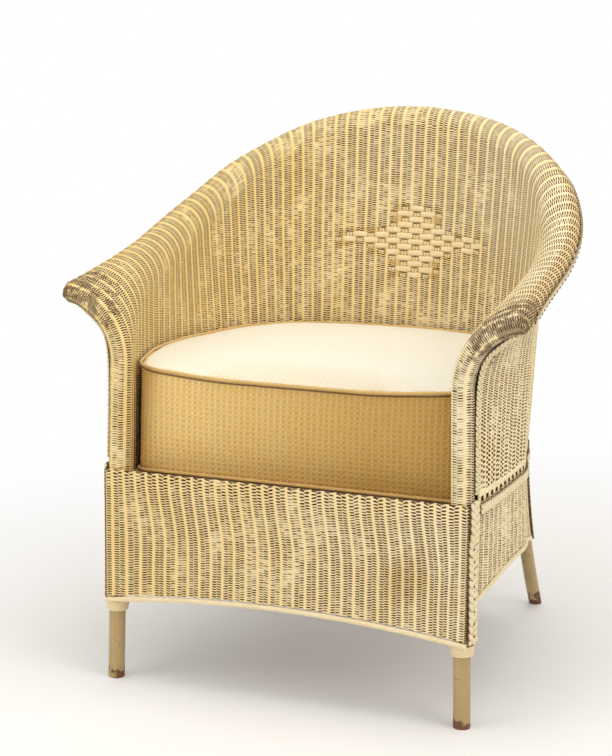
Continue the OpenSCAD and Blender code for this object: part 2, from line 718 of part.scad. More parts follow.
// The corner braids lie on the posts below and on the shell's roll round the posts above
corner_step = 14;
corner_heights = concat(
    share_list(corner_low_h, shell_low_h - corner_step, 4), share_list(shell_low_h - gap, seam_h - gap, 3)
);
function corner_braid_at(z) =
    let(
        on_roll = min(1, max(0, (z + corner_step - shell_low_h) / (corner_step - gap))),
        r = lerp(pole_d / 2, roll_out_r, on_roll)
    )
    [post_x(z) + r + gap + braid_t / 2, corner_braid_y, z];
module corner_braid(right) {
    color(cream) in_place() right_or_left(right) sweep(
        [for (z = corner_heights) corner_braid_at(z)], oval_ring(corner_braid_w, braid_t), [1, 0, 0]
    );
}
module corner_braid_left() { corner_braid(false); }
module corner_braid_right() { corner_braid(true); }
rear_braid_w = 20;
rear_braid_low_h = 152;
function rear_braid_at(z) =
    let(d = rim_out(post_s)) rear_low(z) + (rear_pole_d / 2 + gap + braid_t / 2) * [d[0], d[1], 0];
// Direction square to a rear braid, outward
function rear_braid_dir(z) =
    let(
        d = rim_out(post_s),
        w = [d[0], d[1], 0],
        t = unit(rear_braid_at(z + rear_braid_w / 2) - rear_braid_at(z - rear_braid_w / 2))
    )
    unit(w - (t * w) * t);
module rear_braid(right) {
    d = rim_out(post_s);
    color(cream) in_place() right_or_left(right) sweep(
        [for (z = share_list(rear_braid_low_h, seam_h - gap, 8)) rear_braid_at(z)],
        oval_ring(rear_braid_w, braid_t), [d[0], d[1], 0]
    );
}
module rear_braid_left() { rear_braid(false); }
module rear_braid_right() { rear_braid(true); }
band_h = 18;
band_drop = 1;
band_mid_h = seam_h - band_h / 2 - band_drop;
function band_at(s) = side_point(s, band_mid_h, weave_t / 2 + gap + braid_t / 2);
module seat_band(right) {
    s_list = rim_places(panel_from_s, panel_to_s - post_gap_s);
    color(cream) in_place() right_or_left(right) sweep(
        [for (s = s_list) band_at(s)], oval_ring(band_h, braid_t),
        [for (s = s_list) let(d = rim_out(s)) [d[0], d[1], 0]]
    );
}
module seat_band_left() { seat_band(false); }
module seat_band_right() { seat_band(true); }

// Wound collars at the top of the front legs
wrap_low_h = 107;
wrap_top_h = 126;
wrap_low_r = 14;
wrap_top_r = 17;
module leg_wrap(right) {
    color(cream) in_place() right_or_left(right) translate([post_x(0), 0, 0]) rotate([0, -post_lean, 0])
        rotate_extrude($fn = 48) polygon([
            [pole_d / 2 + gap, wrap_low_h], [wrap_low_r, wrap_low_h],
            [wrap_top_r, wrap_top_h], [pole_d / 2 + gap, wrap_top_h]
        ]);
}
module leg_wrap_left() { leg_wrap(false); }
module leg_wrap_right() { leg_wrap(true); }

// Tacks that hold the braids
tack_d = 4.4;
tack_t = 1.2;
tack_inset = 9;
module tack(p, d) {
    translate(p + (braid_t / 2 + rest_gap) * d) rotate([0, acos(d[2]), atan2(d[1], d[0])])
        cylinder(h = tack_t, d = tack_d, $fn = 16);
}
module braid_tacks() {
    color(steel) in_place() for (right = [true, false]) right_or_left(right) {
        for (i = [1 : len(rim_braid_places) - 2])
            let(s = rim_braid_places[i]) tack(rim_point(s) + braid_off * rim_braid_up(s), rim_braid_up(s));
        for (z = share_list(corner_low_h + tack_inset, shell_low_h - corner_step - tack_inset, 4))
            tack(corner_braid_at(z), [1, 0, 0]);
        for (z = share_list(rear_braid_low_h + tack_inset, seam_h - tack_inset, 5))
            tack(rear_braid_at(z), rear_braid_dir(z));
    }
}

// Seat springs on steel slats that hang below the hoop
slat_t = 3;
slat_w = 22;
slat_top_h = 200;
slat_slope = 20;
slat_s = [0.13, 0.34, 0.55];
module spring_slat(i) {
    p = hoop_point(slat_s[i]);
    high = seat_h - rail_h - gap;
    x_tab = p[0] + rail_t / 4;
    x_bend = p[0] - rail_t;
    x_low = x_bend - slat_slope;
    color(steel) in_place() translate([0, p[1] + slat_w / 2, 0]) rotate([90, 0, 0]) linear_extrude(slat_w) {
        right = [[x_low, slat_top_h], [x_bend, high], [x_tab, high], [x_tab, high - slat_t],
            [x_bend + slat_t, high - slat_t], [x_low + slat_t, slat_top_h - slat_t]];
        polygon(concat(right, [for (k = [len(right) - 1 : -1 : 0]) [-right[k][0], right[k][1]]]));
    }
}
module spring_slat_front() { spring_slat(0); }
module spring_slat_middle() { spring_slat(1); }
module spring_slat_rear() { spring_slat(2); }
spring_pitch_x = 132;
spring_rings = 8;
spring_low_h = slat_top_h + gap + spring_wire_d / 2;
spring_top_clear = 1;
spring_high_h = seat_h - spring_top_clear - spring_wire_d / 2;
spring_waist = 0.72;
function spring_radius(t) = (spring_d - spring_wire_d) / 2 * lerp(1, spring_waist, sin(180 * t));
function spring_point(t) = let(a = 360 * spring_turns * t) [
    spring_radius(t) * cos(a), spring_radius(t) * sin(a), lerp(spring_low_h, spring_high_h, t)
];
module spring() {
    n = spring_turns * spring_rings;
    sweep([for (i = [0 : n]) spring_point(i / n)], round_ring(spring_wire_d, 6), [0, 0, 1]);
}
echo(least_gap_between_spring_turns = (spring_high_h - spring_low_h) / spring_turns - spring_wire_d);
module springs(i) {
    y = hoop_point(slat_s[i])[1];
    color(steel) in_place() for (k = [-1 : 1]) translate([k * spring_pitch_x, y, 0]) spring();
}
module springs_front() { springs(0); }
module springs_middle() { springs(1); }
module springs_rear() { springs(2); }
border_wire_d = 4.5;
border_clear = 10;
border_inset = hoop_off + rail_t / 2 + border_clear;
border_y = 34;
border_places = share_list(border_y / arm_straight * side_share, 1, 15);
module spring_border_wire() {
    h = seat_h - border_wire_d / 2 - spring_top_clear;
    half = [for (s = border_places) let(p = shell_at(s, seat_h, border_inset)) [p[0], p[1], h]];
    color(steel) in_place() sweep_loop(both_sides(half), round_ring(border_wire_d, 8));
}
deck_t = 1.6;
deck_hem = 2.5;
deck_clear = 1.2;
module deck_cloth() {
    half = concat(
        [[rail_end_x - deck_hem, -rail_t / 2 + deck_hem]],
        [
            for (s = rim_places(hoop_start_s))
                let(p = shell_at(s, seat_h, weave_t / 2 + deck_clear)) [p[0], p[1]]
        ]
    );
    n = len(half);
    color(jute) in_place() translate([0, 0, seat_h + rest_gap]) linear_extrude(deck_t)
        polygon(concat(half, [for (i = [n - 2 : -1 : 0]) [-half[i][0], half[i][1]]]));
}

// Loose cushion. Its outline has a straight front between rounded corners and follows the shell.
// The upper corners are rounder than the lower ones, and the upper outline follows the lean of
// the shell for a share of the cushion's height.
cushion_y = 30;
cushion_clear = 1;
corner_low_r = 20;
corner_high_r = 60;
top_corner_rise_from = 0.35;
cushion_flare_share = 0.6;
cushion_rise_len = 130;
cushion_low_h = seat_h + rest_gap + deck_t + gap;
piping_r = piping_d / 2;
piping_low_h = cushion_low_h + piping_r;
piping_top_h = cushion_low_h + cushion_t - piping_r;
cushion_centre = [0, 270];
front_shares = [0, 0.4, 0.8];
function cushion_side(s, k) =
    let(
        o = weave_t / 2 + cushion_clear + piping_r,
        p = s < side_share ? shell_point(s, line_rows, o)
            : shell_at(s, seat_h + k * cushion_flare_share * cushion_t, o)
    ) [p[0], p[1]];
function cushion_half(k) =
    let(
        r = lerp(corner_low_r, corner_high_r, k),
        from = (cushion_y + r) / arm_straight * side_share,
        x = cushion_side(from, k)[0] - r
    )
    concat(
        [for (f = front_shares) [f * x, cushion_y]],
        [for (a = [0 : 30 : 60]) [x + r * sin(a), cushion_y + r * (1 - cos(a))]],
        [for (s = share_list(from, side_share, 5)) cushion_side(s, k)],
        [for (i = [1 : back_steps]) cushion_side(lerp(side_share, 1, i / back_steps), k)]
    );
// Whole outline at the share k of the way from the lower piping to the upper one
function cushion_outline(k) =
    let(half = cushion_half(k), n = len(half))
    concat(half, [for (i = [n - 2 : -1 : 1]) [-half[i][0], half[i][1]]]);
// How much higher the top lies than at the middle of the front edge
cushion_half_w = cushion_side(side_share, 1)[0];
function cushion_lift(p) =
    let(
        back = ease((p[1] - cushion_y) / cushion_rise_len),
        out = ease((abs(p[0]) / cushion_half_w - top_corner_rise_from) / (1 - top_corner_rise_from))
    ) cushion_rise * back + top_corner_rise * out * (1 - back);
// Ring at the share k of the height, drawn in towards the middle by a length and to a share
function cushion_ring(k, z, inset, share = 1) = [
    for (p = cushion_outline(k))
        let(v = share * (p - cushion_centre), q = cushion_centre + (1 - share * inset / norm(v)) * v)
            [q[0], q[1], z + k * cushion_lift(cushion_centre + v)]
];
// Rounded solid between two crowned faces; skin is how far it lies inside the cover's outside
under_shares = [0.24, 0.6, 0.88];
crown_shares = [0.88, 0.7, 0.48, 0.24];
draw_in = 3;
module cushion_form(skin) {
    seam = piping_r + gap;
    chamfer = seam * sqrt(2);
    low = piping_low_h + skin;
    high = piping_top_h - skin;
    belly = piping_r - gap;
    rings = concat(
        [for (f = under_shares) cushion_ring(0, low - belly * (1 - f), 0, f)],
        [cushion_ring(0, low, skin + chamfer), cushion_ring(0, low + chamfer, skin)],
        [cushion_ring(1 / 2, (low + high) / 2, skin + draw_in)],
        [cushion_ring(1, high - chamfer, skin), cushion_ring(1, high, skin + chamfer)],
        [for (f = crown_shares) cushion_ring(1, high + cushion_crown * (1 - f * f), 0, f)]
    );
    n = len(rings[0]);
    m = len(rings);
    points = concat(flat(rings), [
        concat(cushion_centre, low - belly),
        concat(cushion_centre, high + cushion_crown + cushion_lift(cushion_centre))
    ]);
    faces = concat(
        [for (f = ring_faces(n, m, false)) [f[2], f[1], f[0]]],
        [for (j = [0 : n - 1]) [n * m, j, (j + 1) % n]],
        [for (j = [0 : n - 1]) [n * m + 1, (m - 1) * n + (j + 1) % n, (m - 1) * n + j]]
    );
    polyhedron(points, faces);
}
module cushion_cover() {
    color(cushion_cloth) in_place() difference() {
        cushion_form(0);
        cushion_form(cover_t);
    }
}
module cushion_filling() { color(jute) in_place() cushion_form(cover_t + gap); }
module cushion_piping(k) {
    color(piping_cloth) in_place()
        sweep_loop(cushion_ring(k, lerp(piping_low_h, piping_top_h, k), 0), round_ring(piping_d, 6));
}
module cushion_piping_top() { cushion_piping(1); }
module cushion_piping_bottom() { cushion_piping(0); }

front_post_left();
front_post_right();
rear_post_left();
rear_post_right();
rim_bow();
seat_front_rail();
seat_hoop();
corner_block_left();
corner_block_right();
front_screws();
rear_screws();
woven_shell();
arm_panel_left();
arm_panel_right();
front_skirt();
side_skirt_left();
side_skirt_right();
rear_skirt();
front_reed();
side_reed_left();
side_reed_right();
rear_reed();
rim_braid();
panel_braid_left();
panel_braid_right();
corner_braid_left();
corner_braid_right();
rear_braid_left();
rear_braid_right();
seat_band_left();
seat_band_right();
leg_wrap_left();
leg_wrap_right();
braid_tacks();
spring_slat_front();
spring_slat_middle();
spring_slat_rear();
springs_front();
springs_middle();
springs_rear();
spring_border_wire();
deck_cloth();
cushion_cover();
cushion_filling();
cushion_piping_top();
cushion_piping_bottom();
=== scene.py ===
"""Looks of the woven fibre armchair, riding on its CAD frame.

Inside the shape classes lengths are millimetres, and y is measured from the line of the front
legs. to_frame moves points into the shared frame, in metres. Every material is procedural and
reads the piece's own UV map, its attributes or Object coordinates.
"""

import logging
import math
from dataclasses import dataclass, field
from enum import Enum
from typing import Callable, Optional, Union

import bpy
import numpy as np
from mathutils import Matrix, Vector


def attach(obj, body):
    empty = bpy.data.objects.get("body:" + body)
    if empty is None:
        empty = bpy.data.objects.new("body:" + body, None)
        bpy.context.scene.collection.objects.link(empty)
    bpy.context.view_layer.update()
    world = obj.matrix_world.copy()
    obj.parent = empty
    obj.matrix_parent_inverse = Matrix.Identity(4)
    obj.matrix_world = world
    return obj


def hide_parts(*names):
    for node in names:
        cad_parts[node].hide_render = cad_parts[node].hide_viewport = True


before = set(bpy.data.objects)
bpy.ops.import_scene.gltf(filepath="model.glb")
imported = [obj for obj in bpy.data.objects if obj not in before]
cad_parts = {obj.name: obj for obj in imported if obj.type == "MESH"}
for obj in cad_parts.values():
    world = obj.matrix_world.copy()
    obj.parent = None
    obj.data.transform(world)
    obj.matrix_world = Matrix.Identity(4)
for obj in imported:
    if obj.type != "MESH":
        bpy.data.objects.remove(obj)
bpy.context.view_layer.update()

UP = np.array([0.0, 0.0, 1.0])
CHAIR, CUSHION = "chair", "cushion"
MM = 0.001
TAU = 2.0 * math.pi
SEED = 11
CHUNK = 4000
LOG = logging.getLogger("armchair")
Array = np.ndarray
Colour = tuple[float, float, float]


class Side(Enum):
    """The two sides of the chair, with the sign of x."""

    RIGHT = 1
    LEFT = -1

    @property
    def tag(self) -> str:
        """The side's word in the names of nodes and pieces."""
        return self.name.lower()

    @property
    def flip(self) -> Array:
        """Factors that carry right-hand points to this side."""
        return np.array([float(self.value), 1.0, 1.0])


class Slot(Enum):
    """Names of material slots that the builders pass for new pieces."""

    REED = "painted_reed"
    FIBRE = "woven_fibre"
    STEEL = "steel"
    TACKS = "tacks"
    BURLAP = "burlap"
    CLOTH = "cushion_cloth"
    PIPING = "piping"


def lerp(a: Union[float, Array], b: Union[float, Array], t: Union[float, Array]) -> Array:
    """The value the share t of the way from a to b."""
    return a + (b - a) * t


def ease(t: Union[float, Array]) -> Array:
    """Smooth step: 3t squared less 2t cubed, held between 0 and 1."""
    c = np.clip(t, 0.0, 1.0)
    return c * c * (3.0 - 2.0 * c)


def unit(v: Array) -> Array:
    """Vectors divided by their lengths."""
    return v / np.maximum(np.linalg.norm(v, axis=-1, keepdims=True), 1e-12)


def ripple(a: Array, b: Array, seed: int, waves: int = 7) -> Array:
    """Irregular waving between about -1 and 1: a sum of sines of a and b with seeded directions.

    Args:
        a: First coordinate, with features about one unit apart.
        b: Second coordinate, of the same shape.
        seed: Seed of the random directions and phases.
        waves: Number of sines.

    Returns:
        The sum divided by the square root of half their number.
    """
    rng = np.random.default_rng(SEED + seed)
    total = np.zeros(np.broadcast(a, b).shape)
    for _ in range(waves):
        ka, kb = rng.normal(0.0, 2.6, 2)
        total = total + np.sin(ka * a + kb * b + rng.uniform(0.0, TAU))
    return total / math.sqrt(waves / 2.0) * 0.5


def lengths(path: Array) -> Array:
    """Distance along a path to each of its points."""
    return np.concatenate([[0.0], np.cumsum(np.linalg.norm(np.diff(path, axis=0), axis=1))])


def resample(values: Array, length: Array, at: Array) -> Array:
    """Rows that are given at the distances length, read off at the distances at."""
    return np.stack([np.interp(at, length, column) for column in values.T], axis=-1)


def closed_ways(points: Array) -> Array:
    """Directions of a closed line at its points."""
    return unit(np.roll(points, -1, axis=0) - np.roll(points, 1, axis=0))


def read(items: bpy.types.bpy_prop_collection, name: str, width: int = 1,
         kind: type = np.float32) -> Array:
    """One property of every item, as an array (n,) or (n, width)."""
    values = np.empty(len(items) * width, dtype=kind)
    items.foreach_get(name, values)
    return values.reshape(-1, width) if width > 1 else values


def both(points: Array) -> Array:
    """A path from the right side to the middle, carried on over the left side."""
    return np.concatenate([points, points[-2::-1] * Side.LEFT.flip])


@dataclass
class ChairForm:
    """Sizes of the chair and the surfaces that its source also uses, in millimetres."""

    back_h: float = 847.0
    arm_h: float = 598.0
    tip_half_w: float = 346.0
    rim_half_w: float = 337.0
    rim_depth: float = 585.0
    seat_h: float = 320.0
    pole_d: float = 25.5
    rear_pole_d: float = 22.0
    arm_bend_r: float = 100.0
    post_lean: float = 1.4
    tip_turn: float = 78.0
    rear_foot_x: float = 231.0
    rear_foot_y: float = 622.0
    weave_t: float = 3.0
    gap: float = 0.4
    roll_gap: float = 1.2
    arm_straight: float = 220.0
    side_share: float = 0.27
    oval_n: float = 2.6
    bulge_pow: float = 2.8
    side_bend_r: float = 46.0
    back_bend_r: float = 30.0
    back_lean: float = 4.0
    lean_span: float = 0.17
    post_s: float = 0.6
    post_clear: float = 1.0
    splay_pow: float = 1.5
    skirt_inset: float = 4.5
    skirt_low_h: float = 128.0
    front_arch: float = 20.0
    skirt_lip: float = 15.0
    panel_front_clear: float = 3.7
    panel_side_x: float = 299.0
    panel_y: float = 8.0
    reed_d: float = 8.0
    braid_w: float = 16.0
    braid_t: float = 5.0
    rise_keys: tuple[tuple[float, float], ...] = (
        (0.0, 0.0), (0.29, 0.19), (0.48, 0.395), (0.62, 0.64), (0.8, 0.905), (1.0, 1.0))
    handles: tuple[tuple[float, float], ...] = ((0.92, 0.62), (1.24, 0.95), (0.2, 0.16))
    side_reed: tuple[float, float, float] = (190.0, 150.0, 33.0)
    rear_reed: tuple[float, float] = (158.0, 26.0)

    def __post_init__(self) -> None:
        """Works out the lengths and places that follow from the sizes."""
        # Rolled edges: from a pole's centre to the middle and to the outside of the sheet round it.
        self.roll_r = self.pole_d / 2 + self.roll_gap + self.weave_t / 2
        self.roll_out_r = self.roll_r + self.weave_t / 2
        # Heights of the shell's lower edge and of the seam between arm panels and skirts.
        self.shell_low_h = self.seat_h - 28.0
        self.seam_h = self.seat_h + self.skirt_lip
        # Middle of the front skirt's sheet, and of the chair's depth.
        self.skirt_y = -(self.roll_out_r + self.gap + self.weave_t / 2)
        self.origin_y = (self.skirt_y - self.reed_d / 2 + self.rear_foot_y + self.rear_pole_d / 2) / 2
        # From the middle of the shell's sheet to a rear post's centre.
        self.post_off = self.weave_t / 2 + self.post_clear + self.rear_pole_d / 2
        # Where the arm panels stand at the front, and half the front skirt's width.
        self.panel_front_x = float(self.front_post_x(self.seam_h)) + self.roll_out_r + self.panel_front_clear
        self.skirt_half_w = self.panel_front_x - self.skirt_inset
        # Level distance along the rear post's line for each unit of s.
        beside = np.array([self.post_s - 0.01, self.post_s + 0.01])
        p = self.shell_at(beside, np.full(2, self.seat_h), -self.post_off)
        pace = float(np.linalg.norm(p[1] - p[0]) / 0.02)
        # Room beside a rear post and past a reed's end, and the ends of panels and rear skirt.
        self.post_gap_s = (self.rear_pole_d / 2 + self.post_clear + 2 * self.gap) / pace
        self.reed_end_s = self.reed_d / 4 / pace
        self.panel_from_s = self.panel_y / self.arm_straight * self.side_share
        self.panel_to_s = self.post_s - self.post_gap_s
        self.rear_from_s = self.post_s + self.post_gap_s

    def side_left(self, s: Array) -> Array:
        """What is left of the arm's straight part, from 1 at the tip to 0."""
        return np.clip(1.0 - s / self.side_share, 0.0, None)

    def oval(self, s: Array) -> tuple[Array, Array]:
        """Superellipse of the back: the radius solves (|cos|/w)^n + (|sin|/d)^n = r^-n."""
        a = np.radians(90.0 * np.clip(s - self.side_share, 0.0, None) / (1.0 - self.side_share))
        c, q = np.clip(np.cos(a), 0.0, None), np.sin(a)
        depth = self.rim_depth - self.arm_straight
        r = ((c / self.rim_half_w) ** self.oval_n + (q / depth) ** self.oval_n) ** (-1.0 / self.oval_n)
        return r * c, r * q

    def plan(self, s: Array) -> tuple[Array, Array]:
        """The rim in plan at the places s, from 0 at the arm tip to 1 at the middle of the back."""
        s = np.asarray(s, dtype=float)
        f = self.side_left(s)
        x, y = self.oval(s)
        straight = s < self.side_share
        wide = self.rim_half_w + (self.tip_half_w - self.rim_half_w) * f ** self.bulge_pow
        return (np.where(straight, wide, x),
                np.where(straight, self.arm_straight * (1.0 - f), self.arm_straight + y))

    def out(self, s: Array) -> tuple[Array, Array]:
        """Outward direction of the rim in plan, from the superellipse's gradient."""
        x, y = self.oval(np.asarray(s, dtype=float))
        depth = self.rim_depth - self.arm_straight
        nx = (x / self.rim_half_w) ** (self.oval_n - 1) / self.rim_half_w
        ny = (y / depth) ** (self.oval_n - 1) / depth
        size = np.hypot(nx, ny)
        return nx / size, ny / size

    def rim_z(self, s: Array) -> Array:
        """Height of the rim: a smooth curve through the rise keys, level at the back."""
        k = np.array(self.rise_keys)
        m = np.empty(len(k))
        m[0] = (k[1, 1] - k[0, 1]) / (k[1, 0] - k[0, 0])
        m[-1] = 0.0
        m[1:-1] = (k[2:, 1] - k[:-2, 1]) / (k[2:, 0] - k[:-2, 0])
        s = np.asarray(s, dtype=float)
        i = np.clip(np.searchsorted(k[:, 0], s, side="right") - 1, 0, len(k) - 2)
        h = k[i + 1, 0] - k[i, 0]
        u = (s - k[i, 0]) / h
        share = ((2 * u ** 3 - 3 * u ** 2 + 1) * k[i, 1] + (u ** 3 - 2 * u ** 2 + u) * m[i] * h
                 + (3 * u ** 2 - 2 * u ** 3) * k[i + 1, 1] + (u ** 3 - u ** 2) * m[i + 1] * h)
        return self.arm_h + (self.back_h - self.arm_h) * share

    def along(self, s: Array, front: float, side: float, back: float,
              span: Optional[float] = None) -> Array:
        """A value that goes from front to side along the arm, and on to back round the back."""
        s = np.asarray(s, dtype=float)
        reach = span if span is not None else 1.0 - self.side_share
        return np.where(s < self.side_share, lerp(side, front, self.side_left(s) ** self.bulge_pow),
                        lerp(side, back, ease((s - self.side_share) / reach)))

    def lean(self, s: Array) -> Array:
        """Lean of the sheet's upright part, outward going up, in radians."""
        return np.radians(self.along(s, -self.post_lean, 0.0, self.back_lean, self.lean_span))

    def turn(self, s: Array) -> Array:
        """Angle at which the bend below the rim ends."""
        return np.radians(self.along(s, self.tip_turn, 90.0, 90.0))

    def bend_r(self, s: Array) -> Array:
        """Radius of the bend below the rim."""
        return self.along(s, self.arm_bend_r + self.roll_r, self.side_bend_r, self.back_bend_r)

    def in_frame(self, s: Array, n: Array, z: Array) -> Array:
        """Points at the distance n outside the rim's plan line and at the height z."""
        x, y = self.plan(s)
        a, b = self.out(s)
        return np.stack(np.broadcast_arrays(x + n * a, y + n * b, z + 0.0 * x), axis=-1)

    def centre(self, s: Array) -> tuple[Array, Array]:
        """Centre of the bend below the rim: distance outside the rim, and height."""
        r = self.bend_r(s) - self.roll_r
        return r * np.cos(self.turn(s)), self.rim_z(s) - r * np.sin(self.turn(s))

    def bend_point(self, s: Array, a: Array, o: Array) -> tuple[Array, Array]:
        """Section point on the bend at the angle a, o inside the middle of the sheet."""
        cn, cz = self.centre(s)
        r = self.bend_r(s) + o
        return cn - r * np.cos(a), cz + r * np.sin(a)

    def line_point(self, s: Array, z: Array, o: Array) -> tuple[Array, Array]:
        """Section point on the upright part at the height z."""
        a = self.lean(s)
        tn, tz = self.bend_point(s, a, 0.0)
        return tn - (tz - z) * np.tan(a) - o * np.cos(a), z + o * np.sin(a)

    def shell_at(self, s: Array, z: Array, o: Array) -> Array:
        """Point on the upright part of the shell."""
        n, h = self.line_point(s, z, o)
        return self.in_frame(s, n, h)

    def flare_z(self, s: Array) -> Array:
        """Height at which the bend below the rim starts."""
        return self.bend_point(s, self.lean(s), 0.0)[1]

    def flare_at(self, s: Array, q: Array, o: Array) -> Array:
        """Point on the flare at the share q of its bend."""
        n, h = self.bend_point(s, lerp(self.lean(s), self.turn(s), q), o)
        return self.in_frame(s, n, h)

    def rim_roll(self, s: Array, a: Array, o: Array) -> Array:
        """Point on the sheet rolled over the rim, at the angle a past the end of the flare."""
        q = self.turn(s) + a
        return self.in_frame(s, -(self.roll_r + o) * np.cos(q), self.rim_z(s) + (self.roll_r + o) * np.sin(q))

    def rim_point(self, s: Array) -> Array:
        """Centre of the rim pole."""
        return self.in_frame(s, 0.0, self.rim_z(s))

    def post_roll(self, base: Array, tilt: Array, a: Array, b: Array, o: Array) -> Array:
        """Point on the sheet rolled round the arm post, or round the arm's tip where b is above 0.

        The circle of radius roll_r + o turns by a from the sheet's normal towards a second
        direction, which is straight ahead for b = 0 and along the arm for b = 90 degrees.

        Args:
            base: Middle-of-sheet points at the tip's column.
            tilt: Section angles there.
            a: Angles round the post.
            b: Angle from the post towards the rim.
            o: Offsets from the middle of the sheet.

        Returns:
            The points.
        """
        zero = 0.0 * tilt
        normal = np.stack([-np.cos(tilt), zero, np.sin(tilt)], axis=-1)
        along = np.stack([normal[..., 2], zero, -normal[..., 0]], axis=-1)
        ahead = np.stack([zero, zero - 1.0, zero], axis=-1)
        cb, sb = np.cos(b)[..., None], np.sin(b)[..., None]
        w = cb * ahead + sb * along
        centre = base - self.roll_r * normal
        return centre + (self.roll_r + o)[..., None] * (
            np.cos(a)[..., None] * normal + np.sin(a)[..., None] * w)

    def panel_foot_n(self, s: Array) -> Array:
        """Distance of an arm panel's foot outside the rim's plan line."""
        s = np.asarray(s, dtype=float)
        x, _ = self.plan(s)
        straight = lerp(self.panel_side_x, self.panel_front_x, self.side_left(s) ** self.bulge_pow) - x
        start = self.line_point(np.array(self.side_share), self.seam_h, 0.0)[0]
        share = ease((s - self.side_share) / (self.panel_to_s - self.side_share))
        round_part = self.line_point(s, self.seam_h, 0.0)[0] + lerp(
            self.panel_side_x - self.rim_half_w - start, self.post_off, share)
        return np.where(s < self.side_share, straight, round_part)

    def panel_point(self, s: Array, t: Array, o: Array) -> Array:
        """Point on an arm panel at the share t of its height: a cubic Bezier in the section."""
        foot = (self.panel_foot_n(s), self.seam_h + self.gap)
        top = (-3.0, self.rim_z(s) - self.roll_out_r - self.weave_t / 2 - 2 * self.gap)
        w, h = top[0] - foot[0], top[1] - foot[1]
        k = 1.0 - self.side_left(s) ** self.bulge_pow
        rise, out, drop = (lerp(tip, rest, k) for tip, rest in self.handles)
        pn = (foot[0], foot[0] + rise * h * np.tan(self.lean(s)), top[0] - out * w, top[0] + 0 * w)
        pz = (foot[1] + 0 * h, foot[1] + rise * h, top[1] - drop * h, top[1])
        f = (1 - t) ** 3, 3 * t * (1 - t) ** 2, 3 * t ** 2 * (1 - t), t ** 3
        d = (1 - t) ** 2, 2 * t * (1 - t), t ** 2
        n = sum(f[i] * pn[i] for i in range(4))
        z = sum(f[i] * pz[i] for i in range(4))
        dn = sum(d[i] * (pn[i + 1] - pn[i]) for i in range(3))
        dz = sum(d[i] * (pz[i + 1] - pz[i]) for i in range(3))
        size = np.hypot(dn, dz)
        return self.in_frame(s, n + o * dz / size, z - o * dn / size)

    def rear_low(self, z: Array) -> Array:
        """Centre of the rear post from the floor to the seat."""
        seat = self.shell_at(np.array(self.post_s), np.array(self.seat_h), -self.post_off)
        k = (np.clip(self.seat_h - z, 0.0, None) / self.seat_h) ** self.splay_pow
        return np.stack([lerp(seat[0], self.rear_foot_x, k), lerp(seat[1], self.rear_foot_y, k),
                         np.asarray(z) + 0.0 * k], axis=-1)

    def splay_shift(self, z: Array) -> Array:
        """How far the splay of the rear posts carries a point at the height z, level."""
        low = np.minimum(z, self.seat_h)
        shift = self.rear_low(low) - self.rear_low(np.full_like(low, self.seat_h))
        shift[..., 2] = 0.0
        return shift

    def side_across(self, s: Array) -> Array:
        """Share of the way along a side skirt."""
        return (s - self.panel_from_s) / (self.panel_to_s - self.panel_from_s)

    def side_low(self, s: Array) -> Array:
        """Height of a side skirt's reed: a line from front to rear plus a half sine."""
        u = self.side_across(s)
        front, rear, arch = self.side_reed
        return lerp(front, rear, u) + arch * np.sin(math.pi * u)

    def side_point(self, s: Array, z: Array, o: Array) -> Array:
        """Point on a side skirt."""
        s, z = np.broadcast_arrays(np.asarray(s, dtype=float), np.asarray(z, dtype=float))
        return (self.in_frame(s, self.panel_foot_n(s) + o, z)
                + ease(self.side_across(s))[..., None] * self.splay_shift(z))

    def front_low(self, x: Array) -> Array:
        """Height of the front reed: a parabola."""
        return self.skirt_low_h + self.front_arch * (1.0 - (x / self.skirt_half_w) ** 2)

    def rear_edge(self, s: Array) -> Array:
        """Height of the rear reed: a half sine over a level line."""
        low, arch = self.rear_reed
        return low + arch * np.sin(math.pi / 2 * (s - self.rear_from_s) / (1.0 - self.rear_from_s))

    def rear_point(self, s: Array, z: Array, o: Array) -> Array:
        """Point on the rear skirt, close behind the shell and splayed with the posts."""
        s, z = np.broadcast_arrays(np.asarray(s, dtype=float), np.asarray(z, dtype=float))
        p = self.shell_at(s, np.maximum(z, self.seat_h), -(self.weave_t + self.gap) - o)
        p[..., 1] += self.splay_shift(z)[..., 1]
        p[..., 2] = z
        return p

    def front_post_x(self, z: Array) -> Array:
        """Centre of a front post at the height z."""
        cn, cz = self.centre(np.array(0.0))
        lean = math.radians(self.post_lean)
        bx = cn - self.arm_bend_r * math.cos(lean)
        bz = cz - self.arm_bend_r * math.sin(lean)
        return self.tip_half_w + bx + (bz - z) * math.tan(lean)


FORM = ChairForm()


def to_frame(points: Array) -> Array:
    """Millimetre points with y from the front legs, as metres in the shared frame."""
    return (points - np.array([0.0, FORM.origin_y, 0.0])) * MM


